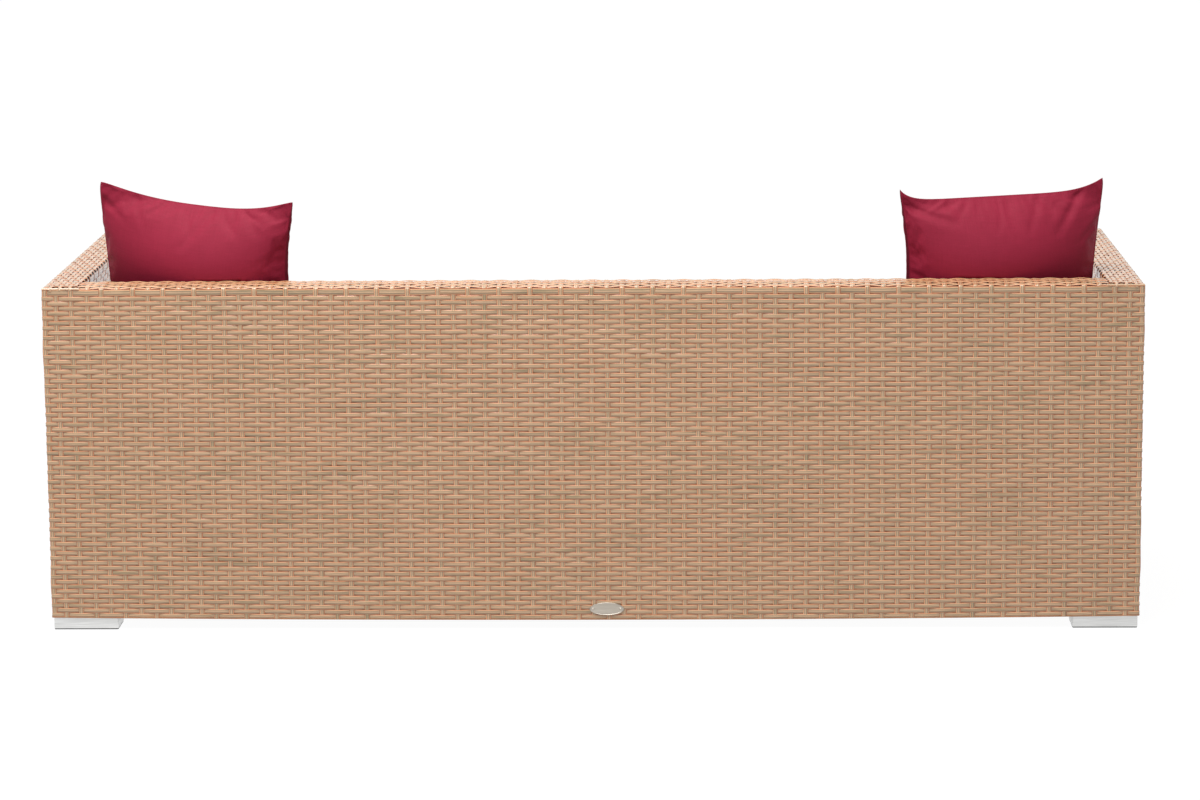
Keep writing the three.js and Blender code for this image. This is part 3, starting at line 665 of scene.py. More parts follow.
def add_weave():
    """The whole weave, in pieces of a size that the export keeps whole."""
    middle = (closed_rows + outer_rows) // 2
    lower = ring_of_wefts(closed_route, closed_crossings, closed_numbers, row_numbers[:closed_rows])
    woven_piece("wefts_lower", [lower, lower_edging()])
    for label, rows in (("middle", row_numbers[closed_rows:middle]), ("upper", row_numbers[middle:])):
        woven_piece(f"wefts_{label}", [ring_of_wefts(open_route, open_crossings, open_numbers, rows)])
    add_wall_stakes()
    add_rims()
    add_deck()


# Materials

bump_height = 0.0002
thread_step = 0.73  # in the noise that gives the threads their tones, from one thread to the next
thread_drift = 0.02  # in the same noise, along a thread, for each thread that it crosses


def principled(name, **values):
    """A material with one Principled BSDF whose inputs are set by their names."""
    material = bpy.data.materials.new(name)
    material.use_nodes = True
    shader = material.node_tree.nodes["Principled BSDF"]
    for key, value in values.items():
        shader.inputs[key.replace("_", " ")].default_value = value
    return material, material.node_tree, shader


def from_screen(red, green, blue):
    """A linear colour from one as it looks on screen, 0 to 255 a channel."""
    share = np.array([red, green, blue]) / 255
    linear = np.where(share <= 0.04045, share / 12.92, ((share + 0.055) / 1.055) ** 2.4)
    return linear.tolist()


def add_node(tree, kind, links=(), **values):
    """A shader node with its settings and inputs by name, and links into its inputs by name or place."""
    node = tree.nodes.new(f"ShaderNode{kind}")
    for key, value in values.items():
        if hasattr(node, key):
            setattr(node, key, value)
        else:
            node.inputs[key.replace("_", " ")].default_value = value
    for target, source in dict(links).items():
        tree.links.new(source, node.inputs[target])
    return node


def add_ramp(tree, source, *stops):
    """The colour of a ramp through stops of place and colour, looked up by a source from 0 to 1."""
    ramp = add_node(tree, "ValToRGB", {"Fac": source})
    elements = ramp.color_ramp.elements
    while len(elements) < len(stops):
        elements.new(0.5)
    for element, (place, colour) in zip(elements, stops):
        element.position = place
        element.color = (*colour, 1)
    return ramp.outputs["Color"]


def add_math(tree, operation, first, second=None):
    """The result of a sum on one or two numbers or outputs."""
    node = add_node(tree, "Math", operation=operation)
    for place, source in enumerate((first, second)):
        if isinstance(source, (int, float)):
            node.inputs[place].default_value = source
        elif source is not None:
            tree.links.new(source, node.inputs[place])
    return node.outputs[0]


def add_bump(tree, height, strength, distance=bump_height, **links):
    """The normal over a height."""
    node = add_node(tree, "Bump", {"Height": height, **links}, Strength=strength, Distance=distance)
    return node.outputs["Normal"]


def lay_surface(tree, shader, colour, shades, mark, roughness, normal):
    """Gives a shader a colour times each of its shades, a roughness that follows a mark, and a normal."""
    for shade in shades:
        mixed = add_node(tree, "Mix", data_type="RGBA", blend_type="MULTIPLY")
        mixed.inputs["Factor"].default_value = 1
        tree.links.new(colour, mixed.inputs["A"])
        tree.links.new(shade, mixed.inputs["B"])
        colour = mixed.outputs["Result"]
    least, most = roughness
    rough = add_node(tree, "MapRange", {"Value": mark}, To_Min=least, To_Max=most)
    tree.links.new(colour, shader.inputs["Base Color"])
    tree.links.new(rough.outputs["Result"], shader.inputs["Roughness"])
    tree.links.new(normal, shader.inputs["Normal"])


def new_group(name, outputs, **numbers):
    """An empty shader node group with a vector and numbers, by their defaults, going in, and numbers out."""
    group = bpy.data.node_groups.new(name, "ShaderNodeTree")
    group.interface.new_socket("Vector", in_out="INPUT", socket_type="NodeSocketVector")
    for key, value in numbers.items():
        socket = group.interface.new_socket(
            key.replace("_", " "), in_out="INPUT", socket_type="NodeSocketFloat"
        )
        socket.default_value = value
    for label in outputs:
        group.interface.new_socket(label, in_out="OUTPUT", socket_type="NodeSocketFloat")
    return group, group.nodes.new("NodeGroupInput").outputs, group.nodes.new("NodeGroupOutput").inputs


def make_strand_marks():
    """Marks along a strand from its UVs in metres: slow tone and fine streaks."""
    lengths = {"Patch_Length": 0.12, "Streak_Length": 0.02}
    group, given, result = new_group("strand_marks", ("Tone", "Streak"), **lengths)
    split = add_node(group, "SeparateXYZ", {0: given["Vector"]})
    for label, length, repeats_across, detail, roughness in (
        ("Tone", "Patch Length", 0.9, 3.0, 0.6),
        ("Streak", "Streak Length", 16, 2.0, 0.7),
    ):
        u = add_math(group, "DIVIDE", split.outputs["X"], given[length])
        v = add_math(group, "MULTIPLY", split.outputs["Y"], repeats_across)
        place = add_node(group, "CombineXYZ", {0: u, 1: v}).outputs[0]
        noise = add_node(group, "TexNoise", {"Vector": place}, Scale=1.0, Detail=detail, Roughness=roughness)
        group.links.new(noise.outputs["Fac"], result[label])
    return group


def make_fine_marks():
    """Fine grain and slow patches in a vector's own units, for metals, coats and plastics."""
    group, given, result = new_group("fine_marks", ("Grain", "Patch"), Grain_Scale=900, Patch_Scale=18)
    for label, detail in (("Grain", 3.0), ("Patch", 4.0)):
        links = {"Vector": given["Vector"], "Scale": given[f"{label} Scale"]}
        noise = add_node(group, "TexNoise", links, Detail=detail)
        group.links.new(noise.outputs["Fac"], result[label])
    return group


def make_plain_weave():
    """A plain weave of threads over U and V in metres: its height, and each thread's own tone.

    The height is an arched thread of one way or the other, by turns like a chessboard. The tone steps
    from thread to thread and drifts slowly along each.
    """
    group, given, result = new_group("plain_weave", ("Height", "Thread"), Threads_per_Metre=1500)
    split = add_node(group, "SeparateXYZ", {0: given["Vector"]})
    ways = [add_math(group, "MULTIPLY", split.outputs[axis], given["Threads per Metre"]) for axis in "XY"]
    arches = []
    for way in ways:
        half_turns = add_math(group, "MULTIPLY", add_math(group, "FRACT", way), math.pi)
        arches.append(add_math(group, "SINE", half_turns))
    cells = [add_math(group, "FLOOR", way) for way in ways]
    parity = add_math(group, "PINGPONG", add_math(group, "ADD", *cells), 1)
    warp = add_math(group, "MULTIPLY", arches[0], add_math(group, "SUBTRACT", 1, parity))
    weft = add_math(group, "MULTIPLY", arches[1], parity)
    group.links.new(add_math(group, "ADD", warp, weft), result["Height"])
    tones = []
    for cell, way, seed in ((cells[0], ways[1], 3.7), (cells[1], ways[0], 41.3)):
        across_thread = add_math(group, "MULTIPLY", cell, thread_step)
        along_thread = add_math(group, "MULTIPLY", way, thread_drift)
        place = add_node(group, "CombineXYZ", {0: across_thread, 1: along_thread}, Z=seed).outputs[0]
        noise = add_node(group, "TexNoise", {"Vector": place}, Scale=1.0, Detail=1.0)
        tones.append(add_math(group, "MULTIPLY", noise.outputs["Fac"], 0.5))
    group.links.new(add_math(group, "ADD", *tones), result["Thread"])
    return group


fine_marks = make_fine_marks()
plain_weave = make_plain_weave()
strand_marks = make_strand_marks()


def make_rattan():
    """Flat plastic strands in stripes of terracotta, peach, khaki and sand, whose tone drifts along them; the
    darkest terracotta at each edge is partly their own stripe and partly painted shade for the gaps between
    strands.
    """
    material, tree, shader = principled(
        "woven_strands", Roughness=0.3, IOR=1.6, Coat_Weight=0.8, Coat_Roughness=0.25
    )
    uv = add_node(tree, "UVMap").outputs["UV"]
    split = add_node(tree, "SeparateXYZ", {0: uv})
    marks = add_node(tree, "Group", node_tree=strand_marks)
    tree.links.new(uv, marks.inputs["Vector"])
    # The stripes are the strands' own colours, but the darkest terracotta at V 0 and 1 is also painted shade
    # for the gaps between strands
    stripes = add_ramp(
        tree,
        split.outputs["Y"],
        (0.0, from_screen(122, 58, 28)),
        (0.07, from_screen(190, 104, 56)),
        (0.17, from_screen(216, 170, 130)),
        (0.32, from_screen(146, 126, 104)),
        (0.5, from_screen(224, 194, 164)),
        (0.68, from_screen(148, 128, 106)),
        (0.83, from_screen(236, 196, 160)),
        (0.93, from_screen(200, 114, 62)),
        (1.0, from_screen(126, 62, 30)),
    )
    drift = add_ramp(
        tree,
        marks.outputs["Tone"],
        (0.30, from_screen(208, 206, 178)),
        (0.46, from_screen(250, 238, 218)),
        (0.60, from_screen(255, 244, 226)),
        (0.72, from_screen(255, 224, 190)),
    )
    streak = marks.outputs["Streak"]
    fine = add_ramp(tree, streak, (0.32, (0.84, 0.82, 0.80)), (0.5, (1, 1, 1)), (0.68, (1.1, 1.1, 1.1)))
    lay_surface(tree, shader, stripes, [drift, fine], streak, (0.22, 0.38), add_bump(tree, streak, 0.25))
    return material


rattan = make_rattan()
add_weave()


# Feet and the oval plate

foot_wall = 0.0025
foot_top_plate = 0.003
foot_corner_radius = 0.003
foot_edge_radius = 0.0007
bolt_hole_radius = 0.0045
hard_edge_angle = math.radians(40)


def rounded_ring(half_x, half_y, radius, arc_points=8):
    """Plan points round a rectangle with rounded corners, counter-clockwise: four arcs and the straights."""
    radius = min(radius, half_x, half_y)
    corner = np.arange(4)[:, None]
    angle = corner * np.pi / 2 + np.linspace(0, np.pi / 2, arc_points)
    middle_x = (half_x - radius) * np.array([1, -1, -1, 1])[:, None]
    middle_y = (half_y - radius) * np.array([1, 1, -1, -1])[:, None]
    return np.stack([middle_x + radius * np.cos(angle), middle_y + radius * np.sin(angle)], -1).reshape(-1, 2)


def at_height(ring, z):
    """The points of a plan ring, all at one height."""
    return np.column_stack([ring, np.full(len(ring), z)])


def loft(rings, closed=False):
    """Points, face corners and sizes of rings joined in order, capped at the ends unless it is closed."""
    count, around, _ = rings.shape
    steps = count if closed else count - 1
    ring, place = np.meshgrid(np.arange(steps), np.arange(around), indexing="ij")
    after, beside = (ring + 1) % count, (place + 1) % around
    corners = [(ring, place), (ring, beside), (after, beside), (after, place)]
    loops = np.stack([row * around + column for row, column in corners], -1).ravel()
    sizes = np.full(ring.size, 4)
    if not closed:
        first = np.arange(around)[::-1]
        loops = np.concatenate([loops, first, (count - 1) * around + first[::-1]])
        sizes = np.append(sizes, [around, around])
    return rings.reshape(-1, 3), loops, sizes


def add_foot(corner):
    """A hollow foot: a wall with rounded edges, a top plate with the bolt's hole, and an open bottom."""
    low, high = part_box(f"foot_{corner}")
    bolt_low, bolt_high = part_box(f"foot_bolt_{corner}")
    middle = (low + high) / 2
    bolt = (bolt_low + bolt_high) / 2
    half_x, half_y = (high.x - low.x) / 2, (high.y - low.y) / 2
    edge = foot_edge_radius
    rounding = np.linspace(0, np.pi / 2, 4)
    height = high.z - low.z
    under_plate = height - foot_top_plate
    # The inset from the foot's outline against the height, down the inside and up the outside
    profile = [(foot_wall, under_plate), (foot_wall, edge / 2), (foot_wall - edge / 2, 0)]
    profile += [(edge * (1 - math.sin(a)), edge * (1 - math.cos(a))) for a in rounding]
    profile += [(edge * (1 - math.cos(a)), height - edge * (1 - math.sin(a))) for a in rounding]
    rings = []
    for inset, z in profile:
        ring = rounded_ring(half_x - inset, half_y - inset, foot_corner_radius - inset / 2)
        rings.append(at_height(ring, z))
    hole = rounded_ring(bolt_hole_radius, bolt_hole_radius, bolt_hole_radius)
    hole += [bolt.x - middle.x, bolt.y - middle.y]
    rings += [at_height(hole, z) for z in (height, under_plate)]
    points, loops, sizes = loft(np.array(rings) + [middle.x, middle.y, low.z], closed=True)
    piece = new_mesh(f"shaped_foot_{corner}", points, loops, sizes, sharp_angle=hard_edge_angle)
    finish_piece(piece, brushed_metal, "sofa_body", "brushed_aluminium", f"foot_{corner}")


plate_points = 96  # round its edge
# The oval plate's inset from its edge against its height, as a share of its thickness
plate_inset_and_height_shares = (
    (0.0004, 0),
    (0, 0.0004),
    (0, 0.7),
    (0.0004, 1.0),
    (0.0011, 1.0),
    (0.0016, 0.72),
    (0.0045, 0.82),
    (0.0085, 0.93),
    (0.0119, 0.97),
)


def add_plate():
    """An oval plate: level with a raised edge, and a low dome inside it."""
    low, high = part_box("oval_plate")
    middle = (low + high) / 2
    half_x, half_z, thick = (high.x - low.x) / 2, (high.z - low.z) / 2, high.y - low.y
    angle = np.linspace(0, 2 * np.pi, plate_points, endpoint=False)
    rings = []
    for inset, level in plate_inset_and_height_shares:
        x, z = (half_x - inset) * np.cos(angle), (half_z - inset) * np.sin(angle)
        rings.append(np.column_stack([x, np.full(plate_points, thick * level), z]))
    rings = np.array(rings) * [-1, 1, 1] + [middle.x, low.y, middle.z]
    piece = new_mesh("domed_oval_plate", *loft(rings), sharp_angle=hard_edge_angle)
    finish_piece(piece, plate_metal, "sofa_body", "satin_plate", "oval_plate")


def make_finish(name, dark, light, roughness, metallic=0.0, grain_scale=900, stretch=(1, 1, 1), bump=0.1):
    """A hard finish between two colours, with a range of roughness and fine grain, drawn out if brushed."""
    material, tree, shader = principled(name, Metallic=metallic)
    place = add_node(tree, "TexCoord")
    drawn = add_node(tree, "Mapping", {"Vector": place.outputs["Object"]}, Scale=stretch)
    marks = add_node(tree, "Group", node_tree=fine_marks, Grain_Scale=grain_scale, Patch_Scale=14)
    tree.links.new(drawn.outputs[0], marks.inputs["Vector"])
    grain = marks.outputs["Grain"]
    colour = add_ramp(tree, grain, (0.36, dark), (0.64, light))
    patches = add_ramp(tree, marks.outputs["Patch"], (0.3, (0.86, 0.86, 0.86)), (0.7, (1, 1, 1)))
    lay_surface(tree, shader, colour, [patches], grain, roughness, add_bump(tree, grain, bump))
    return material


brushed_metal = make_finish(
    "brushed_aluminium", (0.63, 0.63, 0.62), (0.84, 0.84, 0.83), (0.34, 0.52), 1.0, 260, (0.06, 1, 4), 0.25
)
plate_metal = make_finish(
    "satin_plate", (0.46, 0.41, 0.35), (0.58, 0.53, 0.46), (0.36, 0.5), 1.0, 400, (0.08, 1, 4), 0.12
)
frame_coat = make_finish("frame_coat", (0.045, 0.026, 0.016), (0.075, 0.045, 0.028), (0.42, 0.6), bump=0.3)
glide_plastic = make_finish(
    "black_plastic", (0.018, 0.018, 0.018), (0.034, 0.033, 0.032), (0.5, 0.7), bump=0.2
)
cast_metal = make_finish(
    "cast_aluminium", (0.38, 0.38, 0.39), (0.50, 0.50, 0.51), (0.5, 0.7), 1.0, 1400, bump=0.5
)
zinc_metal = make_finish(
    "zinc_steel", (0.46, 0.47, 0.49), (0.62, 0.62, 0.62), (0.28, 0.46), 1.0, 700, bump=0.2
)

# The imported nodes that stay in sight, by the starts of their names
tube_starts = ("corner_post", "top_rail", "back_post", "apron_post", "base_rail", "low_rail", "seat_rail")
for starts, finish in (
    ("glide", glide_plastic),
    ("foot_bolt", zinc_metal),
    ("post_plug", cast_metal),
    ("plate_rivet", plate_metal),
    ((*tube_starts, "seat_cross_bar"), frame_coat),
):
    for name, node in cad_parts.items():
        if name.startswith(starts):
            node.data.materials.clear()
            node.data.materials.append(finish)

for corner_label in ("rear_left", "rear_right", "front_left", "front_right"):
    add_foot(corner_label)
add_plate()


# Cushions and pillows

threads_per_metre = 1500
slub_height = 0.0006
crease_start, crease_end = 0.001, 0.0034  # in from a seam
painted_crease_shade = 0.45


def make_cloth(name, seam_place=None):
    """Ruby polyester in a plain weave, a little faded in slow patches, with painted shade where the threads
    lie low.

    At a seam's place, the least U of a panel, the cloth lies in a crease, which is darkened as painted shade
    that fades out inwards.
    """
    material, tree, shader = principled(name, Specular_IOR_Level=0.3)
    uv = add_node(tree, "UVMap").outputs["UV"]
    weave = add_node(tree, "Group", node_tree=plain_weave, Threads_per_Metre=threads_per_metre)
    marks = add_node(tree, "Group", node_tree=fine_marks, Grain_Scale=260, Patch_Scale=9)
    for group in (weave, marks):
        tree.links.new(uv, group.inputs["Vector"])
    height, thread, grain = weave.outputs["Height"], weave.outputs["Thread"], marks.outputs["Grain"]
    dark, middle, light = (0.275, 0.008, 0.033), (0.295, 0.0093, 0.0365), (0.32, 0.011, 0.041)
    threads = add_ramp(tree, thread, (0.36, dark), (0.5, middle), (0.64, light))
    shades = [
        # Painted shade in the weave's hollows: darker where the threads lie low
        add_ramp(tree, height, (0.0, (0.8, 0.76, 0.78)), (0.55, (1, 1, 1))),
        add_ramp(tree, marks.outputs["Patch"], (0.3, (0.93, 0.92, 0.93)), (0.7, (1.0, 1.0, 1.0))),
    ]
    # Painted shade along the seam's crease
    if seam_place is not None:
        split = add_node(tree, "SeparateXYZ", {0: uv})
        places = {"From_Min": seam_place + crease_start, "From_Max": seam_place + crease_end}
        crease = add_node(tree, "MapRange", {"Value": split.outputs["X"]}, To_Min=painted_crease_shade, **places)
        shades.append(crease.outputs["Result"])
    weave_bump = add_bump(tree, height, 0.35)
    slub_bump = add_bump(tree, grain, 0.2, slub_height, Normal=weave_bump)
    lay_surface(tree, shader, threads, shades, grain, (0.62, 0.8), slub_bump)
    return material


pillow_half = 0.2
pillow_cloth = make_cloth("pillow_cloth", -pillow_half)
cushion_cloth = make_cloth("cushion_cloth")

# How cloth swells: the simulation's settings, and the greatest way that a point is moved
swell_frames = 20
swell_quality = 6
swell_pressure = 4
swell_bending = 0.4
swell_cap = 0.006
pillow_growth_share = 0.035
cushion_growth_share = 0.02


def get_points(piece):
    """The points of a piece as an array."""
    points = np.empty(len(piece.data.vertices) * 3, np.float32)
    piece.data.vertices.foreach_get("co", points)
    return points.reshape(-1, 3).astype(float)


def set_points(piece, points):
    """Puts the points of an array back into their piece."""
    piece.data.vertices.foreach_set("co", np.ascontiguousarray(points, np.float32).ravel())
    piece.data.update()


def swell(piece, held, growth_share):
    """Lets a closed form swell by cloth simulation, with some points held and none moved as far as the cap.

    The cloth is larger than the form by the growth share, so that it puckers beside its seams. A point's
    way is eased to the cap times the hyperbolic tangent of the way over the cap.
    """
    mesh = piece.data
    start = np.empty(len(mesh.vertices) * 3, np.float32)
    mesh.vertices.foreach_get("co", start)
    group = piece.vertex_groups.new(name="held")
    group.add(np.flatnonzero(held).tolist(), 1.0, "REPLACE")
    settings = piece.modifiers.new("Cloth", "CLOTH").settings
    settings.quality = swell_quality
    settings.use_pressure = True
    settings.uniform_pressure_force = swell_pressure
    settings.shrink_min = -growth_share
    settings.bending_stiffness = swell_bending
    settings.vertex_group_mass = "held"
    settings.effector_weights.gravity = 0
    scene = bpy.context.scene
    for number in range(1, swell_frames + 1):
        scene.frame_set(number)
    swollen = piece.evaluated_get(bpy.context.evaluated_depsgraph_get()).to_mesh()
    end = np.empty_like(start)
    swollen.vertices.foreach_get("co", end)
    piece.modifiers.clear()
    piece.vertex_groups.clear()
    scene.frame_set(1)
    moved = (end - start).reshape(-1, 3)
    length = np.linalg.norm(moved, axis=1, keepdims=True).clip(1e-9)
    moved *= swell_cap * np.tanh(length / swell_cap) / length
    mesh.vertices.foreach_set("co", start + moved.ravel())
    mesh.update()


def subdivide(piece):
    """One level of subdivision, applied; returns the points as an array."""
    rounding = piece.modifiers.new("Rounding", "SUBSURF")
    rounding.levels = rounding.render_levels = 1
    rounded = piece.evaluated_get(bpy.context.evaluated_depsgraph_get())
    piece.data = bpy.data.meshes.new_from_object(rounded)
    piece.modifiers.clear()
    return get_points(piece)


pillow_thickness = 0.126
pillow_bottom_draw_in = 0.009
pillow_lean = math.radians(11.5)
pillow_cells = 76
lip = 0.0026  # the flat seam allowance round a pillow
lip_thickness = 0.0009
fullness_share = 0.68  # how fast a pillow thickens from its lip
over_rim_share = 0.32  # how much further it bulges above the rim than it is thick
seam_puff = 0.013
puff_place_share = 0.05  # of the pillow's half width, in from the seam
pillow_blunt_share = 0.03
pillow_blunt_power = 14
held_lips = 1.5  # the border that cloth can't move, in widths of the lip
crowding_share = 0.8  # how much closer the grid's lines stand at its border than in its middle
behind_back_face = 0.005  # how far the pillow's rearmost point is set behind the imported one's
resting_gap = 0.0006  # between a pillow and the back's inner face


def square_shell(cells):
    """Two square grids that share their border: U and V of each point, its face sign, and the quads.

    The points of the first face come first, row by row; the second face adds its inner points.
    """
    steps = np.linspace(-1, 1, cells - 1)
    inner_line = np.sin(steps * np.pi / 2 * crowding_share) / math.sin(np.pi / 2 * crowding_share)
    line = np.concatenate([[-1], inner_line * (1 - lip / pillow_half), [1]])
    v, u = np.meshgrid(line, line, indexing="ij")
    size = cells + 1
    inner = np.s_[1:-1, 1:-1]
    front_index = np.arange(size * size).reshape(size, size)
    back_index = front_index.copy()
    back_index[inner] = size * size + np.arange((size - 2) ** 2).reshape(size - 2, size - 2)
    signs = np.zeros((size, size))
    signs[inner] = -1
    signs = np.concatenate([signs.ravel(), np.ones((size - 2) ** 2)])
    us = np.concatenate([u.ravel(), u[inner].ravel()])
    vs = np.concatenate([v.ravel(), v[inner].ravel()])
    return us, vs, signs, np.concatenate([grid_quads(front_index), grid_quads(back_index)[:, ::-1]])


def pillow_points(us, vs, signs, shape):
    """A pillow in its own frame: X out to the arm, Y to the rear, Z up.

    The sides draw in by their draw-ins times 1 - v squared, and the bottom likewise by u. The top sinks
    between its corners by the top's draw-in times 1 - |u| to the power of that side, more to the inner
    side by the skew, and its corners rise by the square of the height. The corners are blunted where
    both u and v are near 1. The thickness is the product of 1 - u squared and 1 - v squared, to the power
    of the fullness share. Over the back's rim the rear face bulges out further, by a share of it times
    the sine of pi times v. The front face puffs out past the inner side's seam, most close beside it.
    """
    power = np.where(us > 0, shape["outer_power"], shape["inner_power"])
    top = shape["top_draw_in"] * (1 - np.abs(us) ** power) * (1 - shape["skew_share"] * us)
    draw_in = np.where(vs > 0, top, pillow_bottom_draw_in * (1 - us**2))
    side_draw_in = np.where(us > 0, shape["outer_draw_in"], shape["inner_draw_in"])
    rise = shape["inner_rise"] * (1 - us) / 2 + shape["outer_rise"] * (1 + us) / 2
    blunt = 1 - pillow_blunt_share * np.abs(us * vs) ** pillow_blunt_power
    x = (pillow_half * us - side_draw_in * us * (1 - vs**2)) * blunt
    beside_seam = (1 - np.abs(us)) / puff_place_share
    puff = seam_puff * beside_seam * np.exp(1 - beside_seam) * (1 - vs**2)
    x -= np.where((signs < 0) & (us < 0), puff, 0)
    z = (pillow_half * vs - draw_in * vs) * blunt + rise * ((1 + vs) / 2) ** 2
    lipped_u, lipped_v = us / (1 - lip / pillow_half), vs / (1 - lip / pillow_half)
    swelling = ((1 - lipped_u**2).clip(0) * (1 - lipped_v**2).clip(0)) ** fullness_share
    overhang = np.where((signs > 0) & (vs > 0), over_rim_share * np.sin(np.pi * vs), 0)
    depth_out = pillow_thickness / 2 * swelling * (1 + overhang)
    return np.stack([x, signs * (lip_thickness / 2 + depth_out), z], -1)


fold_bank_share = 0.45  # of a fold's depth, taken back by its banks
fold_bank_width = 2.2  # times the fold's own
fold_taper_power = 0.7
fold_fade_share = 0.05  # of the pillow's half width, in from the seam


def fold_depth(us, vs, signs, shape):
    """How far the rear face sinks in its folds: along straight lines, each a bell curve between low banks.

    A fold tapers along its line by a cosine to the taper's power, and all of them fade out at the seam.
    """
    total = np.zeros_like(us)
    for (u0, v0), (u1, v1), width, deepest in shape["folds"]:
        run = np.array([u1 - u0, v1 - v0])
        gone = (((us - u0) * run[0] + (vs - v0) * run[1]) / (run @ run)).clip(0, 1)
        off = np.hypot(us - u0 - gone * run[0], vs - v0 - gone * run[1])
        taper = np.cos(np.pi / 2 * gone) ** fold_taper_power
        banks = fold_bank_share * np.exp(-((off / width / fold_bank_width) ** 2))
        total += deepest * taper * (np.exp(-((off / width) ** 2)) - banks)
    near_seam = (1 - np.maximum(np.abs(us), np.abs(vs))) / fold_fade_share
    return np.where(signs > 0, total, 0) * near_seam.clip(0, 1)


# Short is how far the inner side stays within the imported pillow. Each fold has its two ends by u and v,
# the deeper one first, its half width in the same shares of the pillow's half, and its depth.
left_shape = {
    "top_draw_in": 0.031,
    "outer_power": 2.4,
    "inner_power": 2.8,
    "skew_share": 0.12,
    "outer_draw_in": 0.002,
    "inner_draw_in": 0.035,
    "inner_rise": -0.009,
    "outer_rise": 0.021,
    "short": 0.005,
    "folds": [
        ((-0.19, 0.96), (0.12, 0.55), 0.045, 0.007),
        ((-0.5, 0.96), (-0.74, 0.66), 0.04, 0.005),
        ((0.12, 0.96), (0.02, 0.74), 0.035, 0.0036),
        ((0.62, 0.97), (0.46, 0.7), 0.04, 0.0036),
        ((-0.96, 0.5), (-0.66, 0.4), 0.03, 0.003),
        ((0.96, 0.84), (0.66, 0.72), 0.035, 0.004),
    ],
}
right_shape = {
    "top_draw_in": 0.030,
    "outer_power": 5.5,
    "inner_power": 9.0,
    "skew_share": 0.0,
    "outer_draw_in": 0.010,
    "inner_draw_in": 0.0325,
    "inner_rise": 0.009,
    "outer_rise": 0.021,
    "short": 0.0,
    "folds": [
        ((-0.93, 0.9), (-0.42, 0.76), 0.045, 0.0085),
        ((-0.5, 0.96), (-0.36, 0.74), 0.03, 0.004),
        ((-0.2, 0.96), (-0.12, 0.78), 0.03, 0.0036),
        ((0.06, 0.96), (0.1, 0.76), 0.03, 0.004),
        ((0.34, 0.96), (0.22, 0.64), 0.035, 0.005),
        ((0.74, 0.95), (0.48, 0.6), 0.045, 0.007),
        ((0.95, 0.62), (0.7, 0.5), 0.035, 0.004),
        ((-0.96, 0.2), (-0.72, 0.12), 0.03, 0.003),
    ],
}


def add_pillow(label, side, turn, shape):
    """A knife-edge pillow, swollen in its own frame and then leant, turned and set in its place."""
    us, vs, signs, quads = square_shell(pillow_cells)
    points = pillow_points(us, vs, signs, shape) * [side, 1, 1]
    if side < 0:
        quads = quads[:, ::-1]
    uv = np.stack([us, vs], -1)[quads.ravel()] * pillow_half
    piece = new_mesh(f"sewn_pillow_{label}", points, quads.ravel(), np.full(len(quads), 4), uv)
    held = np.maximum(np.abs(us), np.abs(vs)) > 1 - held_lips * lip / pillow_half
    swell(piece, held, pillow_growth_share)
    points = get_points(piece)
    points[:, 1] -= fold_depth(us, vs, signs, shape)
    set_points(piece, points)
    points = subdivide(piece)
    turned = np.array(Matrix.Rotation(-side * turn, 3, "Z") @ Matrix.Rotation(-pillow_lean, 3, "X"))
    points = points @ turned.T
    low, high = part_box(f"scatter_pillow_{label}")
    # Its foot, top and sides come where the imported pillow's are, which makes up for the cloth's drawing in
    least, most = points.min(axis=0), points.max(axis=0)
    ends = [low.x, high.x - shape["short"]] if side < 0 else [low.x + shape["short"], high.x]
    points[:, 0] = np.interp(points[:, 0], [least[0], most[0]], ends)
    points[:, 2] = np.interp(points[:, 2], [least[2], most[2]], [low.z, high.z])
    points[:, 1] += high.y + behind_back_face - most[1]
    # It rests against the back's inner face below the rim's edge
    below_rim = points[:, 2] < rim_top
    at_back = np.minimum(points[:, 1], inner_low.y - resting_gap)
    points[:, 1] = np.where(below_rim, at_back, points[:, 1])
    set_points(piece, points)
    finish_piece(
        piece, pillow_cloth, f"{label}_pillow", "pillow_cloth", f"scatter_pillow_{label}", fill=0.75
    )


cushion_crown = 0.011
cushion_cells = (36, 40)
cushion_blunt_share = 0.035
cushion_blunt_power = 7
band_rows = 7
band_bulge = 0.003
seam_inset = 0.005  # of the seams in from the band's fullest line
form_inset = 0.0015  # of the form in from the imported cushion, which leaves room for its swelling
panel_inset = 0.003
cord_radius = 0.0023
cord_length = 2.7  # round a cushion, as its marks are laid out
cord_sides = 6
cord_girth = 0.004
box_gap = 0.0003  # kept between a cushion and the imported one's box


def boxed_shell():
    """A boxed cushion's grid: a bottom panel, a top panel and a band between their borders.

    Returns U and V of each point, its height share and the quads. The band's rows run round the border.
    """
    line_u = np.linspace(-1, 1, cushion_cells[0] + 1)
    line_v = np.linspace(-1, 1, cushion_cells[1] + 1)
    v, u = np.meshgrid(line_v, line_u, indexing="ij")
    index = np.arange(u.size).reshape(u.shape)
    border = np.concatenate([index[0, :-1], index[:-1, -1], index[-1, :0:-1], index[:0:-1, 0]])
    count, around = u.size, len(border)
    levels = np.arange(1, band_rows) / band_rows
    flat = (u.ravel(), v.ravel())
    us, vs = (np.concatenate([way, way, np.tile(way[border], band_rows - 1)]) for way in flat)
    height_shares = np.concatenate([np.zeros(count), np.ones(count), np.repeat(levels, around)])
    between = 2 * count + np.arange((band_rows - 1) * around).reshape(-1, around)
    rings = np.vstack([border, between, border + count])
    panel = grid_quads(index)
    after = np.roll(rings, -1, axis=1)
    band = np.stack([rings[:-1], after[:-1], after[1:], rings[1:]], -1).reshape(-1, 4)
    return us, vs, height_shares, rings, np.concatenate([panel[:, ::-1], panel + count, band])


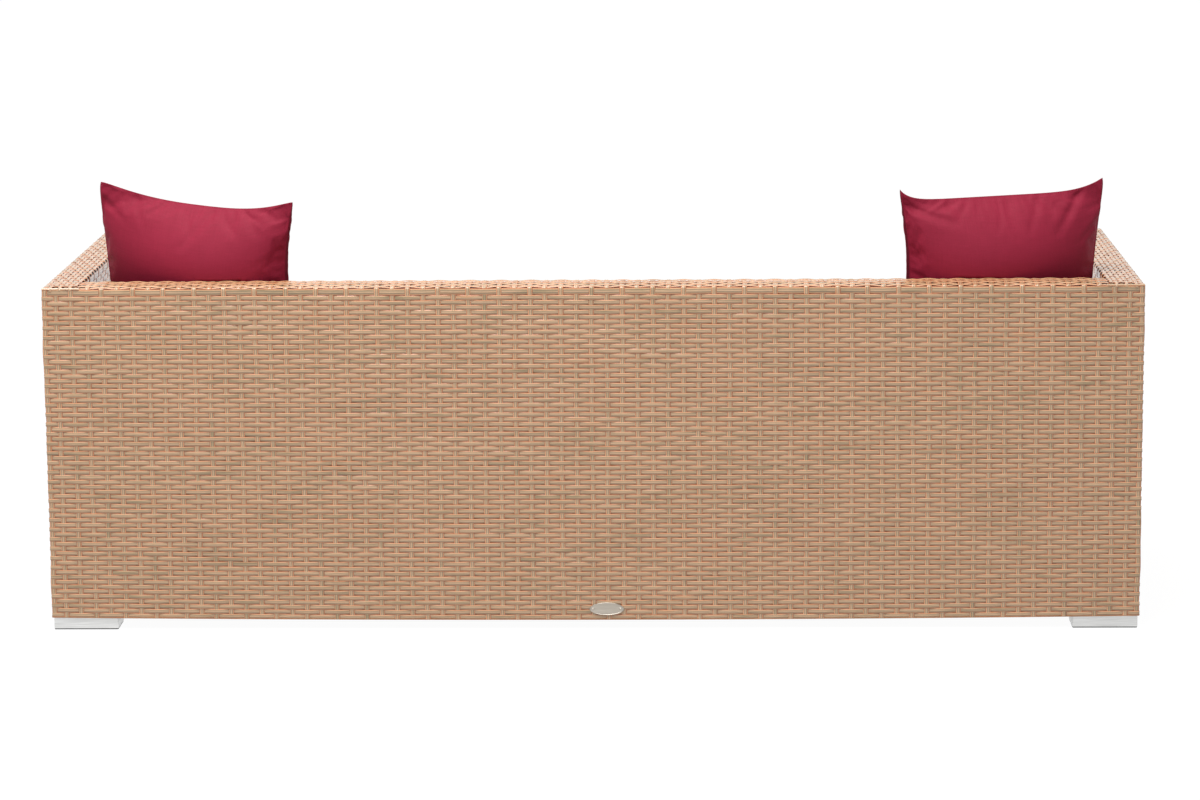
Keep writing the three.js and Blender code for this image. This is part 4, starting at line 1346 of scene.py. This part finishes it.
def seam_cord(ring):
    """A round cord along a closed ring of points: its points, face corners, sizes and UVs."""
    ahead = np.roll(ring, -1, axis=0) - np.roll(ring, 1, axis=0)
    ahead /= np.linalg.norm(ahead, axis=1, keepdims=True)
    outward = np.cross(ahead, z_axis)
    angle = np.arange(cord_sides) * np.pi / (cord_sides / 2)
    round_it = outward[:, None] * np.cos(angle)[:, None] + z_axis * np.sin(angle)[:, None]
    marks_along = np.linspace(0, cord_length, len(ring))
    uv = np.stack(np.meshgrid(marks_along, [0, cord_girth, cord_girth, 0], indexing="ij"), -1)
    uv = np.repeat(uv, cord_sides, axis=0).reshape(-1, 2)
    return *loft(ring[:, None] + cord_radius * round_it, closed=True), uv


def add_seat_cushions():
    """Three boxed cushions from one simulated form, with corded seams. The middle one is turned round.

    The panels sink to their seams by the crown times 1 - (1 - u to the 4th) (1 - v to the 4th). The band
    bulges by the sine of pi times its height share. The corners are blunted where both u and v are near 1.
    """
    low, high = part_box("seat_cushion_middle")
    half = np.array(high - low) / 2
    us, vs, height_shares, rings, quads = boxed_shell()
    on_bottom, on_top = height_shares == 0, height_shares == 1
    blunt = 1 - cushion_blunt_share * np.abs(us * vs) ** cushion_blunt_power
    inset = seam_inset + form_inset - band_bulge * np.sin(np.pi * height_shares)
    x, y = us * (half[0] - inset) * blunt, vs * (half[1] - inset) * blunt
    crown = cushion_crown * (1 - (1 - us**4) * (1 - vs**4))
    seam_height = cushion_crown + cord_radius
    in_band = seam_height + height_shares * 2 * (half[2] - seam_height)
    z = np.select([on_bottom, on_top], [crown, 2 * half[2] - crown], in_band)
    z += np.select([on_bottom, on_top], [panel_inset, -panel_inset], 0)
    points = np.stack([x, y, z], -1)
    uv = np.stack([us * half[0], vs * half[1]], -1)[quads]
    around = rings.shape[1]
    steps = np.diff(points[np.append(rings[0], rings[0][0])], axis=0)
    distance = np.append(0, np.linalg.norm(steps, axis=1).cumsum())
    step = np.tile(np.arange(around), band_rows)
    row_of = np.repeat(np.arange(band_rows), around)
    band_u = np.stack([distance[step], distance[step + 1], distance[step + 1], distance[step]], -1)
    band_v = np.stack([row_of, row_of, row_of + 1, row_of + 1], -1) / band_rows * 2 * half[2]
    uv[2 * cushion_cells[0] * cushion_cells[1] :] = np.stack([band_u, band_v], -1)
    loops, sizes, uv = quads.ravel(), np.full(len(quads), 4), uv.reshape(-1, 2)
    form = new_mesh("cushion_form", points, loops, sizes, uv)
    held = np.zeros(len(points), bool)
    held[rings[[0, -1]]] = True
    swell(form, held, cushion_growth_share)
    points = get_points(form)
    bpy.data.objects.remove(form)
    cords = [seam_cord(points[ring]) for ring in (rings[0], rings[-1])]
    points, loops, sizes, uv = join([(points, loops, sizes, uv), *cords])
    for label, turned in (("left", 1), ("middle", -1), ("right", 1)):
        low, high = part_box(f"seat_cushion_{label}")
        middle = (low + high) / 2
        placed = points * [turned, turned, 1] + [middle.x, middle.y, low.z]
        piece = new_mesh(f"sewn_seat_cushion_{label}", placed, loops, sizes, uv)
        finer = subdivide(piece)
        set_points(piece, np.clip(finer, np.array(low) + box_gap, np.array(high) - box_gap))
        body, node = f"{label}_seat_cushion", f"seat_cushion_{label}"
        finish_piece(piece, cushion_cloth, body, "cushion_cloth", node, fill=0.9)


add_pillow("left", 1, math.radians(14.5), left_shape)
add_pillow("right", -1, math.radians(10.5), right_shape)
add_seat_cushions()


# Camera, floor and light

camera_place = Vector((-0.1968, 7.551, 1.744))
camera_yaw = math.radians(1.456)
camera_pitch = math.radians(10.261)
camera_roll = math.radians(-0.443)
image_width = 1200
focal_pixels = 3808.6
floor_half = 30
floor_glow = 1.2
# The floor's glow is taken out in a box under the sofa, a painted shadow that ends between these distances
# from a line near its middle
painted_shadow_line = -0.09
painted_shadow_ends_x = (0.95, 1.05)
painted_shadow_ends_y = (0.27, 0.34)
open_floor_share = 0.8
lamp_place = (0.8, 1.7, 4.2)
lamp_target = Vector((0, 0.2, 0.4))
lamp_size = 3
lamp_power = 215


def add_camera():
    """The camera looks down its -Z axis: back to front along -Y, turned by its yaw, pitch and roll."""
    forward = Vector(
        (
            math.sin(camera_yaw) * math.cos(camera_pitch),
            -math.cos(camera_yaw) * math.cos(camera_pitch),
            -math.sin(camera_pitch),
        )
    )
    level_right = forward.cross(Vector((0, 0, 1))).normalized()
    level_up = level_right.cross(forward)
    right = level_right * math.cos(camera_roll) + level_up * math.sin(camera_roll)
    up = level_up * math.cos(camera_roll) - level_right * math.sin(camera_roll)
    data = bpy.data.cameras.new("camera")
    camera = bpy.data.objects.new("camera", data)
    bpy.context.scene.collection.objects.link(camera)
    turn = Matrix((right, up, -forward)).transposed().to_4x4()
    camera.matrix_world = Matrix.Translation(camera_place) @ turn
    data.sensor_width = 36
    data.lens = data.sensor_width * focal_pixels / image_width
    data.clip_end = 100
    bpy.context.scene.camera = camera


def seen_ray(tree):
    """1 for what is seen, directly or in a gloss, and 0 for what lights the sofa."""
    path = add_node(tree, "LightPath")
    return add_math(tree, "MAXIMUM", path.outputs["Is Camera Ray"], path.outputs["Is Glossy Ray"])


def add_floor():
    """A white floor that keeps the shadow, and whose glow is taken out under the sofa as a painted shadow."""
    material, tree, shader = principled("floor_white", Base_Color=(0.36, 0.36, 0.36, 1), Roughness=0.9)
    glow = add_node(tree, "Emission", Strength=floor_glow)
    # Under the sofa the glow is taken out in a box, a painted shadow in which the floor shows only its lit
    # shade, so that nothing bright shows through the weave
    place = add_node(tree, "TexCoord")
    split = add_node(tree, "SeparateXYZ", {0: place.outputs["Object"]})
    from_line = add_math(tree, "ADD", split.outputs["Y"], -painted_shadow_line)
    shades = []
    for source, (near, far) in ((split.outputs["X"], painted_shadow_ends_x), (from_line, painted_shadow_ends_y)):
        away = add_math(tree, "ABSOLUTE", source)
        shade = add_node(tree, "MapRange", {0: away}, From_Min=near, From_Max=far, To_Max=open_floor_share)
        shades.append(shade.outputs[0])
    share = add_math(tree, "MULTIPLY", seen_ray(tree), add_math(tree, "MAXIMUM", *shades))
    shown = {"Fac": share, 1: shader.outputs["BSDF"], 2: glow.outputs["Emission"]}
    mix = add_node(tree, "MixShader", shown)
    tree.links.new(mix.outputs[0], tree.nodes["Material Output"].inputs["Surface"])
    corners = [(x * floor_half, y * floor_half, 0) for x, y in ((-1, -1), (1, -1), (1, 1), (-1, 1))]
    floor = new_mesh("floor", corners, np.arange(4), [4])
    floor.data.materials.append(material)


def add_light():
    """A white sky, which is dimmer where it lights the sofa, and one wide lamp overhead."""
    world = bpy.data.worlds.new("sky")
    bpy.context.scene.world = world
    world.use_nodes = True
    tree = world.node_tree
    background = tree.nodes["Background"]
    background.inputs["Color"].default_value = (1, 1, 1, 1)
    strength = add_node(tree, "MapRange", {"Value": seen_ray(tree)}, To_Min=0.5, To_Max=1)
    tree.links.new(strength.outputs["Result"], background.inputs["Strength"])
    lamp = bpy.data.lights.new("overhead", "AREA")
    lamp.size = lamp_size
    lamp.energy = lamp_power
    holder = bpy.data.objects.new("overhead", lamp)
    bpy.context.scene.collection.objects.link(holder)
    holder.location = lamp_place
    holder.rotation_euler = (lamp_target - holder.location).to_track_quat("-Z", "Y").to_euler()


add_camera()
add_floor()
add_light()
bpy.context.scene.view_settings.view_transform = "Standard"
